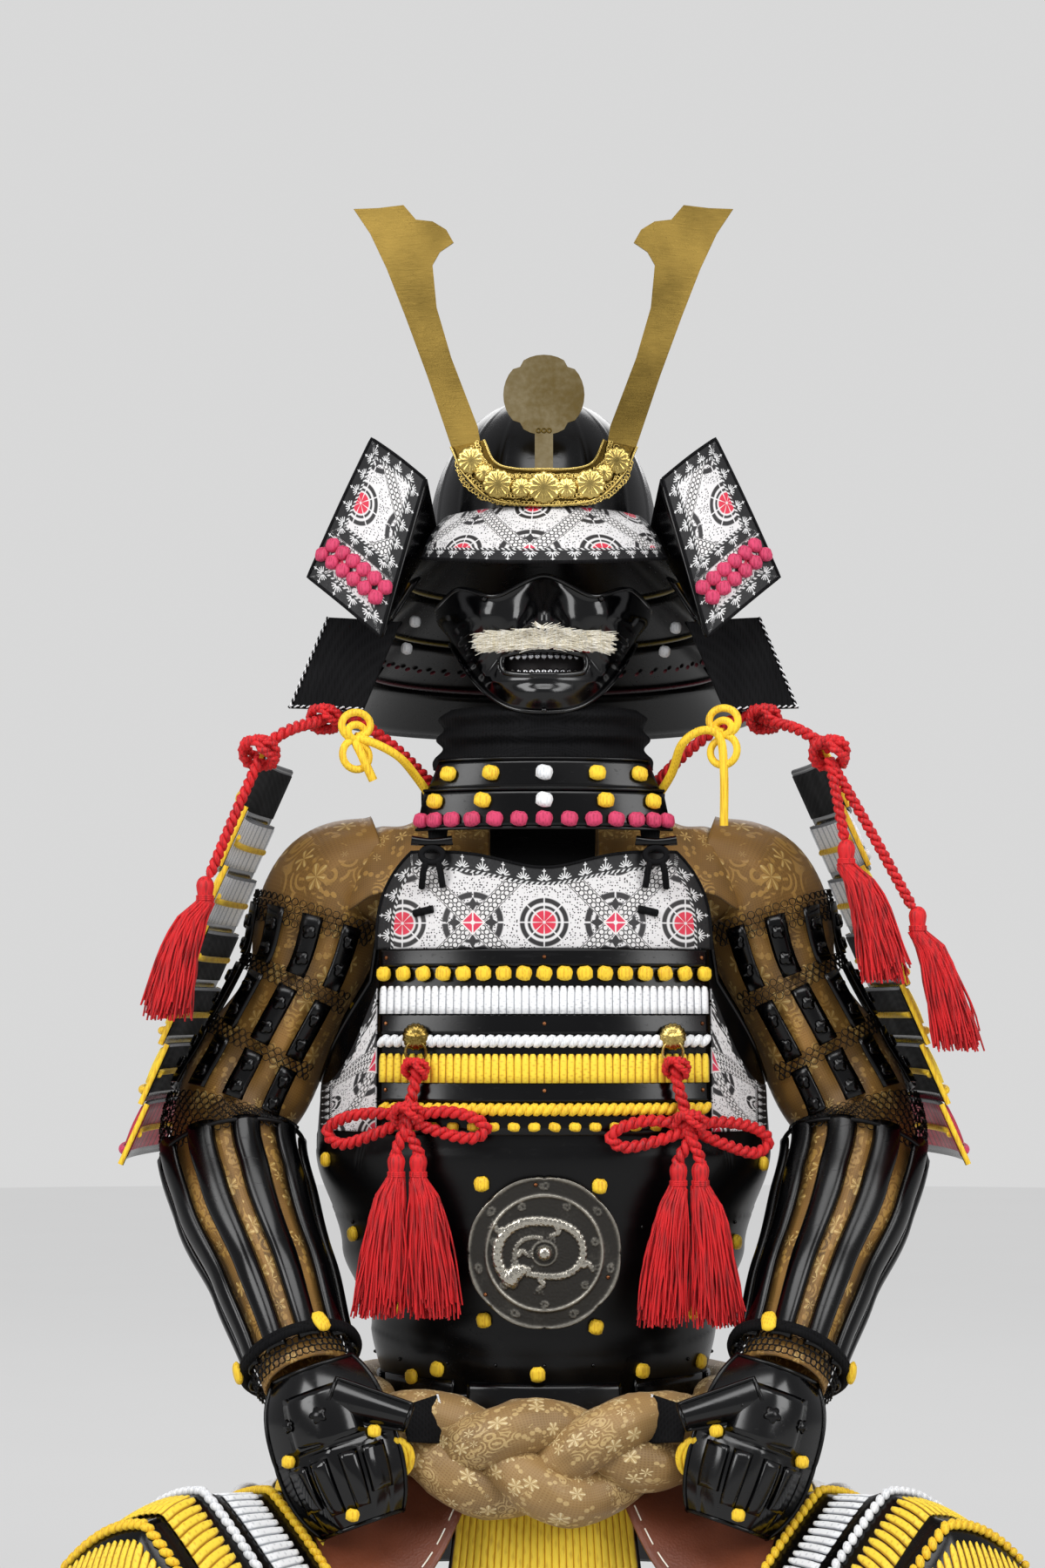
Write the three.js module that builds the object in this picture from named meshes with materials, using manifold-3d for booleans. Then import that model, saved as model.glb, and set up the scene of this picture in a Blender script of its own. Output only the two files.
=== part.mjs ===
// Samurai armour, seated, filled out with no wearer.
// Millimetres, +Z up, the front faces -Y. The origin is midway between the undersides of
// the shoulder straps, where the wearer's shoulders carry the armour.
import * as THREE from 'three';
import { LoftGeometry } from 'three/addons/geometries/LoftGeometry.js';
import { mergeVertices } from 'three/addons/utils/BufferGeometryUtils.js';
import Module from 'manifold-3d';

const wasm = await Module();
wasm.setup();

// Driving dimensions
const SEAM = 0.3;
const PLATE = 2.4;
const CLOTH = 2;
const LEATHER = 2.5;

const BOWL = { halfWidth: 110, halfDepth: 128, rim: 254, height: 134 };
const CREST = { front: -134.4, bend: 0.002, discRadius: 38, discHeight: 368 };
const NECK_GUARD = { lames: 4, startAngle: 63, rim: 250, drop: 44, flareX: 20, flareY: 17, step: 5 };
const MASK = { halfWidth: 104, depth: 122, chin: 70, mouth: 117, noseTip: 152 };
const CUIRASS = { low: -560, chestTop: -80, sideTop: -272, backTop: -8 };
const CHEST_PLATE = { halfWidth: 157, top: -58, low: -149 };
const LAME_HALF_WIDTH = 154;
const MEDALLION = { radius: 71, height: -426, thick: 4 };
const STRAP = { width: 46, thick: 6 };
const BELT = { height: -608, front: 188, ringWidth: 182.3, ringDepth: 141.5, strand: 25, rise: 33 };
const TASSET_TOP = -548;
const TASSEL_LOCKS = 8;
const KNOT_ROOT = 3;

// Half width and half depth of the trunk at each height
const TRUNK = [
  { z: 60, a: 150, b: 100 },
  { z: -60, a: 178, b: 122 },
  { z: -150, a: 198, b: 130 },
  { z: -250, a: 212, b: 136 },
  { z: -340, a: 217, b: 140 },
  { z: -430, a: 192, b: 131 },
  { z: -500, a: 164, b: 120 },
  { z: -570, a: 152, b: 113 },
  { z: -700, a: 160, b: 118 },
];

// Finishes
const FINISH = {
  lacquer: { color: 0x0b0b0c, roughness: 0.15, metalness: 0 },
  printed: { color: 0xd9d6d2, roughness: 0.6, metalness: 0 },
  gilt: { color: 0xd9b64a, roughness: 0.25, metalness: 1 },
  brass: { color: 0xb89a4c, roughness: 0.35, metalness: 1 },
  silver: { color: 0x4a4846, roughness: 0.4, metalness: 1 },
  brocade: { color: 0x7d5a2c, roughness: 0.55, metalness: 0 },
  ropeCloth: { color: 0x8a6a3c, roughness: 0.5, metalness: 0 },
  yellow: { color: 0xe9c52c, roughness: 0.7, metalness: 0 },
  white: { color: 0xe6e6e6, roughness: 0.7, metalness: 0 },
  red: { color: 0xc4101c, roughness: 0.6, metalness: 0 },
  blackCloth: { color: 0x101012, roughness: 0.9, metalness: 0 },
  leather: { color: 0x7a3d26, roughness: 0.6, metalness: 0 },
  fur: { color: 0xe9dfc0, roughness: 0.9, metalness: 0 },
};

const group = new THREE.Group();

function addMesh(name, geometry, finish) {
  const mesh = new THREE.Mesh(geometry, new THREE.MeshStandardMaterial(finish));
  mesh.name = name;
  group.add(mesh);
  return mesh;
}

// Small helpers
const radians = (degrees) => (degrees * Math.PI) / 180;
const lerp = (a, b, t) => a + (b - a) * t;
const clamp01 = (t) => Math.min(1, Math.max(0, t));
const smooth = (t) => clamp01(t) * clamp01(t) * (3 - 2 * clamp01(t));
const bell = (x, width) => Math.exp(-((x / width) ** 2));
const vector = (x, y, z) => new THREE.Vector3(x, y, z);
const mirrored = (point, side) => vector(point.x * side, point.y, point.z);

function steps(count, from = 0, to = 1) {
  return Array.from({ length: count + 1 }, (_, index) => lerp(from, to, index / count));
}

function trunkAt(z) {
  let index = 0;
  while (index < TRUNK.length - 2 && z < TRUNK[index + 1].z) index += 1;
  const upper = TRUNK[index];
  const lower = TRUNK[index + 1];
  const t = smooth((upper.z - z) / (upper.z - lower.z));
  return { a: lerp(upper.a, lower.a, t), b: lerp(upper.b, lower.b, t) };
}

function trunkPoint(angle, z, out = 0) {
  const { a, b } = trunkAt(z);
  return vector((a + out) * Math.sin(angle), -(b + out) * Math.cos(angle), z);
}

function angleAtX(x, z, out = 0) {
  return Math.asin(Math.max(-1, Math.min(1, x / (trunkAt(z).a + out))));
}

function volume(geometry, centre) {
  const flat = geometry.index ? geometry.toNonIndexed() : geometry;
  const position = flat.attributes.position;
  const a = vector(0, 0, 0);
  const b = vector(0, 0, 0);
  const c = vector(0, 0, 0);
  let sum = 0;
  for (let index = 0; index < position.count; index += 3) {
    a.fromBufferAttribute(position, index).sub(centre);
    b.fromBufferAttribute(position, index + 1).sub(centre);
    c.fromBufferAttribute(position, index + 2).sub(centre);
    sum += a.dot(b.cross(c)) / 6;
  }
  return sum;
}

// Closes one end of a loft whose sections run along the outer face and back along the inner
function endFaces(firstIndex, columns, outerCount, isStart) {
  const outer = Array.from({ length: outerCount }, (_, index) => firstIndex + index);
  const inner = Array.from({ length: columns - outerCount }, (_, index) => firstIndex + columns - 1 - index);
  const faces = [];
  let i = 0;
  let j = 0;
  while (i < outer.length - 1 || j < inner.length - 1) {
    const stepOuter = (i + 1) / (outer.length - 1) <= (j + 1) / (inner.length - 1);
    const nextOuter = j === inner.length - 1 || (i < outer.length - 1 && stepOuter);
    const face = nextOuter ? [outer[i], outer[i + 1], inner[j]] : [outer[i], inner[j + 1], inner[j]];
    faces.push(...(isStart ? face.reverse() : face));
    if (nextOuter) i += 1;
    else j += 1;
  }
  return faces;
}

// Lofts closed sections and keeps the winding whose faces point out
function loft(sections, outerCount, capped = true) {
  const centre = vector(0, 0, 0);
  sections.flat().forEach((point) => centre.add(point));
  centre.divideScalar(sections.flat().length);
  const build = (rows, count) => {
    const columns = rows[0].length;
    const geometry = new LoftGeometry(rows, { closed: true });
    if (!capped) return geometry;
    const last = (rows.length - 1) * (columns + 1);
    const ends = [...endFaces(0, columns, count, true), ...endFaces(last, columns, count, false)];
    return geometry.setIndex([...geometry.index.array, ...ends]);
  };
  const forward = build(sections, outerCount);
  if (volume(forward, centre) > 0) return forward;
  return build(sections.map((row) => [...row].reverse()), sections[0].length - outerCount);
}

// A wall: outer(u, v) and inner(u, v) give its two faces, and it is lofted along u
function wall({ outer, inner, us, vs, innerVs = [0, 0.5, 1], ring = false }) {
  const sections = us.map((u) => [
    ...vs.map((v) => outer(u, v)),
    ...[...innerVs].reverse().map((v) => inner(u, v)),
  ]);
  if (ring) sections.push(sections[0].map((point) => point.clone()));
  return loft(sections, vs.length, !ring);
}

// The inner face of a wall of even thickness, on the side of the point that toward gives
function thicken(outer, thickness, toward) {
  const e = 0.002;
  return (u, v) => {
    const point = outer(u, v);
    const along = outer(u + e, v).sub(outer(u - e, v));
    const down = outer(u, Math.min(1, v + e)).sub(outer(u, Math.max(0, v - e)));
    const normal = along.cross(down).normalize();
    if (normal.dot(point.clone().sub(toward(u, v))) < 0) normal.negate();
    return point.addScaledVector(normal, -thickness);
  };
}

function toSolid(geometry) {
  const bare = new THREE.BufferGeometry().setAttribute('position', geometry.attributes.position);
  const welded = mergeVertices(geometry.index ? bare.setIndex(geometry.index) : bare, 1e-3);
  const mesh = new wasm.Mesh({
    numProp: 3,
    vertProperties: new Float32Array(welded.attributes.position.array),
    triVerts: new Uint32Array(welded.index.array),
  });
  return new wasm.Manifold(mesh);
}

function toGeometry(solid) {
  const mesh = solid.getMesh();
  const geometry = new THREE.BufferGeometry();
  geometry.setAttribute('position', new THREE.BufferAttribute(mesh.vertProperties, 3));
  geometry.setIndex(new THREE.BufferAttribute(mesh.triVerts, 1));
  geometry.computeVertexNormals();
  return geometry;
}

function joined(...geometries) {
  return toGeometry(geometries.map(toSolid).reduce((sum, part) => sum.add(part)));
}

function cut(base, tool) {
  return toGeometry(toSolid(base).subtract(toSolid(tool)));
}

// A lacing knot: a low eight-faced stud, its flat side along the given normal
function knot(point, normal, width = 14, height = 12, thick = 9) {
  const stud = new THREE.OctahedronGeometry(0.5, 0).scale(width, thick, height);
  const way = normal.clone().normalize();
  const turn = new THREE.Quaternion().setFromUnitVectors(vector(0, -1, 0), way);
  const place = point.clone().addScaledVector(way, thick / 2 - KNOT_ROOT);
  return stud.applyQuaternion(turn).translate(place.x, place.y, place.z);
}

function tube(points, radius, stepCount, sides = 8) {
  const section = new THREE.Shape();
  steps(sides - 1, 0, (sides - 1) / sides).forEach((t, index) => {
    const angle = 2 * Math.PI * t;
    const x = radius * Math.cos(angle);
    const y = radius * Math.sin(angle);
    if (index === 0) section.moveTo(x, y);
    else section.lineTo(x, y);
  });
  const path = new THREE.CatmullRomCurve3(points, false, 'centripetal');
  return new THREE.ExtrudeGeometry(section, { steps: stepCount, extrudePath: path, bevelEnabled: false });
}

function plateShape(points, thickness, back) {
  const shape = new THREE.Shape(points.map((point) => new THREE.Vector2(point.x, point.z)));
  const plate = new THREE.ExtrudeGeometry(shape, { depth: thickness, bevelEnabled: false });
  return plate.rotateX(Math.PI / 2).translate(0, back, 0);
}

function moveVertices(geometry, change) {
  const position = geometry.attributes.position;
  for (let index = 0; index < position.count; index += 1) {
    const point = change(vector(position.getX(index), position.getY(index), position.getZ(index)));
    position.setXYZ(index, point.x, point.y, point.z);
  }
  return geometry;
}

// Helmet bowl, a hollow dome
function helmetBowl() {
  const dome = (radius, height) => steps(5, 0, Math.PI / 2).map((t, index) =>
    new THREE.Vector2(index === 0 ? 0 : radius * Math.sin(t) ** 0.92, BOWL.rim + height * Math.cos(t)));
  const profile = [...dome(0.972, BOWL.height - 3), ...dome(1, BOWL.height).reverse()];
  return new THREE.LatheGeometry(profile, 18).rotateX(Math.PI / 2).scale(BOWL.halfWidth, BOWL.halfDepth, 1);
}

function helmetPoint(angle, radiusX, radiusY, z) {
  return vector(radiusX * Math.sin(angle), -radiusY * Math.cos(angle), z);
}

// Peak over the brow, in printed leather
function visor() {
  const spread = radians(57);
  const outer = (u, v) => {
    const angle = lerp(-spread, spread, u);
    const out = v * (8 + 44 * Math.cos(angle) ** 1.3);
    const crown = 4 * Math.sin(Math.PI * v);
    const low = 202 + 26 * Math.sin(angle) ** 2;
    return helmetPoint(angle, 110.4 + out + crown, 129.4 + out + crown, lerp(263, low, v ** 1.1));
  };
  const inner = thicken(outer, LEATHER, () => vector(0, 0, 120));
  return wall({ outer, inner, us: steps(12), vs: [0, 0.33, 0.66, 1], innerVs: [0, 0.4, 1] });
}

function bent(geometry) {
  return moveVertices(geometry, (point) => point.setY(point.y + CREST.bend * point.x * point.x));
}

// U-shaped crest base with its row of bosses
function crestBase() {
  const outline = [
    { x: -87, z: 320 }, { x: -74, z: 293 }, { x: -47, z: 268 }, { x: -20, z: 263 }, { x: 0, z: 262 },
    { x: 20, z: 263 }, { x: 47, z: 268 }, { x: 74, z: 293 }, { x: 87, z: 320 }, { x: 56, z: 325 },
    { x: 46, z: 304 }, { x: 28, z: 297 }, { x: -28, z: 297 }, { x: -46, z: 304 },
    { x: -56, z: 325 },
  ];
  const plate = plateShape(outline, 3, CREST.front + 3);
  const places = [
    { x: 0, z: 279, r: 13 }, { x: 43, z: 283, r: 12 }, { x: -43, z: 283, r: 12 },
    { x: 68, z: 306, r: 11 }, { x: -68, z: 306, r: 11 }, { x: 21, z: 281, r: 7 }, { x: -21, z: 281, r: 7 },
  ];
  const bosses = places.map(({ x, z, r }) =>
    new THREE.CylinderGeometry(r, r * 0.45, 5, 6).translate(x, CREST.front - 1.5, z));
  return bent(joined(plate, ...bosses));
}

// Flat crest horn, swept back on the tangent of the base
function crestHorn(side) {
  const outline = [
    { x: -87, z: 322 }, { x: -110, z: 391 }, { x: -131, z: 449 }, { x: -149, z: 496 }, { x: -165, z: 531 },
    { x: -181, z: 556 }, { x: -157, z: 555 }, { x: -133, z: 556 }, { x: -121, z: 541 }, { x: -105, z: 538 },
    { x: -92, z: 529 }, { x: -85, z: 516 }, { x: -98, z: 508 }, { x: -105, z: 496 }, { x: -101, z: 455 },
    { x: -87, z: 406 }, { x: -62, z: 339 }, { x: -58, z: 314 }, { x: -82, z: 314 },
  ];
  const points = outline.map((point) => ({ x: point.x * side, z: point.z }));
  const seat = 72;
  const slope = 2 * CREST.bend * seat;
  const back = CREST.front + 3 + 1.2 + 2 + CREST.bend * seat * seat;
  const horn = plateShape(side > 0 ? points : points.reverse(), 2, back);
  return moveVertices(horn, (point) => point.setY(point.y + slope * (Math.abs(point.x) - seat)));
}

// Notched crest disc on its stem
function crestDisc() {
  const notches = [40, 140, 220, 320];
  const points = steps(35, 0, 350).map((degrees) => {
    const dent = Math.max(...notches.map((at) => bell(degrees - at, 6)));
    const radius = CREST.discRadius * (1 - 0.09 * dent);
    return { x: radius * Math.sin(radians(degrees)), z: CREST.discHeight + radius * Math.cos(radians(degrees)) };
  });
  const back = CREST.front + 3 + 2.8 + SEAM + 2;
  const disc = plateShape(points, 2, back);
  const stem = new THREE.BoxGeometry(17, 2, 60).translate(0, back - 1, 313);
  return joined(disc, stem);
}

// Neck guard of four lames that flare over the shoulders
function neckGuard() {
  const start = radians(NECK_GUARD.startAngle);
  const rows = [];
  for (let lame = 0; lame < NECK_GUARD.lames; lame += 1) {
    const z = NECK_GUARD.rim - lame * NECK_GUARD.drop;
    const inset = lame * NECK_GUARD.step;
    const top = lame === 0 ? 8 : 0;
    const seat = top * 0.4;
    rows.push({
      z: z + top,
      x: 114 - seat + lame * NECK_GUARD.flareX - inset * 0.2,
      y: 132 - seat + lame * NECK_GUARD.flareY - inset * 0.2,
    });
    rows.push({ z: z - NECK_GUARD.drop + 1, x: 122 + (lame + 1) * NECK_GUARD.flareX, y: 140 + (lame + 1) * NECK_GUARD.flareY });
  }
  const row = (v) => rows[Math.round(v * (rows.length - 1))];
  const ringPoint = (u, v, out) => {
    const angle = lerp(start, 2 * Math.PI - start, u);
    return helmetPoint(angle, row(v).x + out, row(v).y + out, row(v).z);
  };
  const vs = steps(rows.length - 1);
  const lames = wall({
    outer: (u, v) => ringPoint(u, v, PLATE),
    inner: (u, v) => ringPoint(u, v, 0),
    us: steps(12),
    vs,
    innerVs: vs,
  });
  return joined(lames, lowerTurnback(-1), lowerTurnback(1));
}

// A panel through four corners with a forward swell
function cornerPanel(corners, swell) {
  return (u, v) => {
    const top = corners.topIn.clone().lerp(corners.topOut, u);
    const low = corners.lowIn.clone().lerp(corners.lowOut, u);
    const point = top.lerp(low, v);
    point.y -= swell * Math.sin(Math.PI * u) * 0.7 + swell * Math.sin(Math.PI * v) * 0.5;
    return point;
  };
}

// Upper turn-back, printed leather with a row of crimson knots. It runs forward from the
// end of the top lame and folds outwards.
function upperTurnback(side) {
  const corners = {
    topIn: mirrored(vector(112, -98, 294), side),
    topOut: mirrored(vector(164, -70, 338), side),
    lowIn: mirrored(vector(152, -128, 140), side),
    lowOut: mirrored(vector(222, -96, 201), side),
  };
  const root = [mirrored(vector(102.8, -61.9, 250), side), mirrored(vector(126.2, -73.9, 209), side)];
  const face = cornerPanel(corners, 14);
  const outer = (u, v) => (u < 0 ? root[0].clone().lerp(root[1], v) : face(u, v));
  const back = thicken(face, LEATHER, (u, v) => face(u, v).add(vector(0, 50, 0)));
  const inner = (u, v) => (u < 0 ? outer(u, v).add(vector(LEATHER * side, 0, 0)) : back(u, v));
  const panel = wall({ outer, inner, us: [-1, ...steps(4)], vs: steps(3), innerVs: steps(3) });
  const knots = steps(3, 0.16, 0.84).flatMap((u) => [
    knot(face(u, 0.74), vector(0, -1, 0), 16, 16, 8),
    knot(face(u + 0.04, 0.86), vector(0, -1, 0), 16, 16, 8),
  ]);
  return joined(panel, ...knots);
}

// Lower turn-back, a narrow plain flap
function lowerTurnback(side) {
  const corners = {
    topIn: mirrored(vector(135, -84, 160), side),
    topOut: mirrored(vector(206, -72, 166), side),
    lowIn: mirrored(vector(170, -100, 74), side),
    lowOut: mirrored(vector(242, -66, 80), side),
  };
  const outer = cornerPanel(corners, 4);
  const inner = thicken(outer, LEATHER, (u, v) => outer(u, v).add(vector(-30 * side, 40, 0)));
  return wall({ outer, inner, us: steps(3), vs: steps(3), innerVs: steps(2) });
}

// Half mask: cheeks, nose and chin over the open mouth
function maskPoint(u, v, thin = 0) {
  const angle = lerp(radians(-88), radians(88), u);
  const sine = Math.abs(Math.sin(angle));
  const topEdge = 192 + 6 * bell(sine, 0.16) - 12 * bell(sine - 0.45, 0.2) - 12 * smooth((sine - 0.75) / 0.25);
  const lowEdge = MASK.chin + 78 * sine ** 2.6;
  const z = lerp(lowEdge, topEdge, v);
  const x = MASK.halfWidth * Math.sin(angle) * lerp(0.86, 1, smooth(v * 1.3)) * (1 - thin / 110);
  const roundness = (MASK.depth - thin) * Math.cos(angle) ** 0.8;
  const nose = 30 * bell(x, 15) * bell(z - MASK.noseTip, z > MASK.noseTip ? 34 : 13);
  const cheeks = 7 * bell(Math.abs(x) - 56, 20) * bell(z - 162, 18);
  const chin = 13 * bell(x, 30) * bell(z - 86, 16);
  const lips = 5 * bell(x, 46) * (bell(z - 131, 7) + bell(z - 103, 7));
  const shelf = 6 * smooth((0.2 - v) / 0.2);
  return vector(x, -(roundness + nose + cheeks + chin + lips - shelf), z);
}

function mask() {
  const shell = wall({
    outer: (u, v) => maskPoint(u, v),
    inner: (u, v) => maskPoint(u, v, 3),
    us: steps(16),
    vs: steps(8),
    innerVs: steps(8),
  });
  const mouth = new THREE.CapsuleGeometry(10, 62, 2, 8).rotateZ(Math.PI / 2).scale(1, 5, 1);
  return cut(shell, mouth.translate(0, -130, MASK.mouth));
}

// Moustache: one solid with a combed lower edge
function moustache() {
  const place = (u, v, out) => {
    const x = lerp(-63, 63, u);
    const comb = 2 * Math.cos(u * 9 * Math.PI);
    const z = lerp(140 + comb * 0.5, 124 + comb, v);
    const angle = Math.asin(Math.max(-0.98, Math.min(0.98, x / 101)));
    return vector(x, -(MASK.depth + 7.5 + out) * Math.cos(angle) ** 0.8 - 13 * bell(x, 17), z);
  };
  return wall({
    outer: (u, v) => place(u, v, 9),
    inner: (u, v) => place(u, v, 0),
    us: steps(16),
    vs: [0, 0.5, 1],
    innerVs: [0, 1],
  });
}

// Black cloth roll round the neck
function neckRoll() {
  const profile = [{ o: 10, z: 80 }, { o: 18, z: 66 }, { o: 14, z: 52 }, { o: 20, z: 40 }, { o: 22.9, z: 24 }];
  const at = (u, v, own) => {
    const row = profile[Math.round(v * (profile.length - 1))];
    const out = own ? row.o : 0;
    const point = helmetPoint(2 * Math.PI * u, 84 + out, 88 + out, row.z - 4 * Math.cos(2 * Math.PI * u));
    return point.setY(point.y - 15.8);
  };
  return wall({
    outer: (u, v) => at(u, v, true),
    inner: (u, v) => at(u, v, false),
    us: steps(15, 0, 15 / 16),
    vs: steps(4),
    innerVs: [0, 1],
    ring: true,
  });
}

// Throat lames, each with its row of knots
function throatLame({ high, low, width, depth, centre, flare, rowsOfKnots }) {
  const spread = radians(68);
  const at = (u, v, out) => {
    const angle = lerp(-spread, spread, u);
    const point = helmetPoint(angle, width + flare * v + out, depth + flare * v * 0.5 + out, lerp(high, low, v));
    return point.setY(point.y - centre);
  };
  const plate = wall({
    outer: (u, v) => at(u, v, PLATE),
    inner: (u, v) => at(u, v, 0),
    us: steps(10),
    vs: [0, 1],
    innerVs: [0, 1],
  });
  const knots = rowsOfKnots.flatMap(({ count, v, margin }) =>
    steps(count - 1, margin, 1 - margin).map((u) => {
      const point = at(u, v, PLATE);
      return knot(point, vector(point.x * 0.7, point.y + centre, 0), 14, 13, 8);
    }));
  return joined(plate, ...knots);
}

// Cuirass front: deep armholes, rising to the chest plate
function cuirassTop(angle) {
  const degrees = Math.abs(angle) * (180 / Math.PI);
  if (degrees < 50) return CUIRASS.chestTop;
  if (degrees < 54) return lerp(CUIRASS.chestTop, -178, (degrees - 50) / 4);
  return lerp(-178, CUIRASS.sideTop, Math.sin(((degrees - 54) / 36) * (Math.PI / 2)));
}

function cuirassFront() {
  const half = [13, 26, 38, 50, 54, 66, 78, 89.9];
  const angles = [...half.map((d) => -d).reverse(), 0, ...half].map(radians);
  const at = (angle, v, out) => trunkPoint(angle, lerp(cuirassTop(angle), CUIRASS.low, v), out);
  const shell = wall({
    outer: (u, v) => at(u, v, 0),
    inner: (u, v) => at(u, v, -PLATE - 1),
    us: angles,
    vs: steps(6),
    innerVs: steps(6),
  });
  const places = [
    { x: -204, z: -346 }, { x: 206, z: -350 }, { x: -57, z: -364 }, { x: 50, z: -366 },
    { x: -178, z: -415 }, { x: 180, z: -423 }, { x: -55, z: -489 }, { x: 47, z: -495 },
    { x: -138, z: -481 }, { x: 138, z: -486 }, { x: -98, z: -536 }, { x: -6, z: -538 },
    { x: 90, z: -537 },
  ];
  const knots = places.map(({ x, z }) => {
    const point = trunkPoint(angleAtX(x, z), z, -0.7);
    return knot(point, vector(point.x, point.y, 0), 14, 14, 9);
  });
  return joined(shell, ...knots);
}

function cuirassBack() {
  const topAt = (angle) => {
    const fromBack = Math.abs(angle - Math.PI) * (180 / Math.PI);
    if (fromBack < 48) return CUIRASS.backTop - 10 * (fromBack / 48) ** 2;
    return lerp(-18, CUIRASS.sideTop, Math.sin(((fromBack - 48) / 42) * (Math.PI / 2)));
  };
  const at = (angle, v, out) => trunkPoint(angle, lerp(topAt(angle), CUIRASS.low, v), out);
  return wall({
    outer: (u, v) => at(u, v, 0),
    inner: (u, v) => at(u, v, -PLATE),
    us: steps(10, radians(89.98), radians(270.02)),
    vs: steps(5),
    innerVs: steps(5),
  });
}

// Chest plate in printed leather over the cuirass
function chestPlate() {
  const at = (u, v, out) => {
    const side = 2 * u - 1;
    const halfWidth = CHEST_PLATE.halfWidth - 33 * (1 - v) ** 3;
    const x = side * halfWidth;
    const top = CHEST_PLATE.top - 16 * bell(side, 0.42);
    const z = lerp(top, CHEST_PLATE.low, v);
    return trunkPoint(angleAtX(x, z, out), z, out);
  };
  return wall({
    outer: (u, v) => at(u, v, 3.6),
    inner: (u, v) => at(u, v, 1.1),
    us: steps(10),
    vs: [0, 0.15, 0.35, 0.6, 1],
    innerVs: [0, 0.15, 0.35, 0.6, 1],
  });
}

// Front lames: rows give the height, the stand-off and whether the row is corded
function frontLame(rows, columns) {
  const at = (u, v, out) => {
    const z = v;
    return trunkPoint(angleAtX(lerp(-LAME_HALF_WIDTH, LAME_HALF_WIDTH, u), z, out), z, out);
  };
  const sections = steps(columns).map((u, column) => {
    const outside = rows.map(({ z, out, cord }) => at(u, z, out - (cord && column % 2 === 0 ? 2 : 0)));
    return [...outside, at(u, rows[rows.length - 1].z, 1.5), at(u, rows[0].z, 1.5)];
  });
  return loft(sections, rows.length);
}

function frontLames() {
  const first = [
    { z: -149.4, out: 7 }, { z: -184, out: 8 }, { z: -185, out: 11, cord: true },
    { z: -209.6, out: 10, cord: true },
  ];
  const second = [
    { z: -210, out: 7 }, { z: -226, out: 8 }, { z: -227, out: 13, cord: true }, { z: -242, out: 12, cord: true },
    { z: -243, out: 10, cord: true }, { z: -273.6, out: 9, cord: true },
  ];
  const third = [
    { z: -274, out: 7 }, { z: -288, out: 8 }, { z: -289, out: 13, cord: true }, { z: -304, out: 12, cord: true },
    { z: -306, out: 6 }, { z: -315, out: 6 },
  ];
  const knotHeight = -171;
  const knots = steps(15, -0.93, 0.93).map((t) => {
    const point = trunkPoint(angleAtX(t * LAME_HALF_WIDTH, knotHeight, 8), knotHeight, 8);
    return knot(point, vector(point.x, point.y, 0), 14, 14, 8);
  });
  addMesh('front_lame_upper', joined(frontLame(first, 16), ...knots), FINISH.white);
  addMesh('front_lame_middle', frontLame(second, 16), FINISH.yellow);
  addMesh('front_lame_lower', frontLame(third, 16), FINISH.yellow);
}

// Printed leather side panel under the arm
function sidePanel(side) {
  const inner = 156;
  const at = (u, v, out) => {
    const x = lerp(inner, 212, u);
    const top = lerp(-184, -276, Math.sin(u * (Math.PI / 2)));
    const z = lerp(top, -318, v);
    return mirrored(trunkPoint(angleAtX(Math.min(x, trunkAt(z).a * 0.992), z), z, out), side);
  };
  return wall({
    outer: (u, v) => at(u, v, 4.6),
    inner: (u, v) => at(u, v, 2),
    us: steps(4),
    vs: steps(3),
    innerVs: steps(3),
  });
}

// Lobed medallion with a raised ring and a knob
function medallion() {
  const lobed = steps(31, 0, 348.75).map((degrees) => {
    const cusp = Math.abs(Math.sin(radians(degrees) * 4));
    const radius = MEDALLION.radius * (0.955 + 0.045 * cusp ** 0.6);
    return { x: radius * Math.sin(radians(degrees)), z: radius * Math.cos(radians(degrees)) };
  });
  const plate = plateShape(lobed, MEDALLION.thick, 0);
  const ring = new THREE.TorusGeometry(53, 2.4, 4, 18).rotateX(Math.PI / 2).translate(0, -4, 0);
  const knob = new THREE.SphereGeometry(7, 6, 4).translate(0, -4, 0);
  const tilt = Math.atan2(trunkAt(-360).b - trunkAt(-500).b, 140);
  const whole = joined(plate, ring, knob).rotateX(tilt);
  return whole.translate(0, -trunkAt(MEDALLION.height).b - 2, MEDALLION.height);
}

// Ribbed boss with its ring
function boss(side) {
  const z = -230;
  const x = 118 * side;
  const seat = trunkPoint(angleAtX(x, z, 13), z, 13);
  seat.y -= 3.2;
  const base = new THREE.CylinderGeometry(10, 10, 1.4, 8).translate(0, -0.2, 0);
  const dome = new THREE.CylinderGeometry(10, 3, 7, 8).translate(0, -3.8, 0);
  const ring = new THREE.TorusGeometry(8.5, 1.3, 4, 8).translate(0, -11, 0).rotateX(Math.PI / 2);
  return joined(base, dome, ring.translate(0, -4, 0)).translate(seat.x, seat.y + 0.1, seat.z);
}

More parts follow.
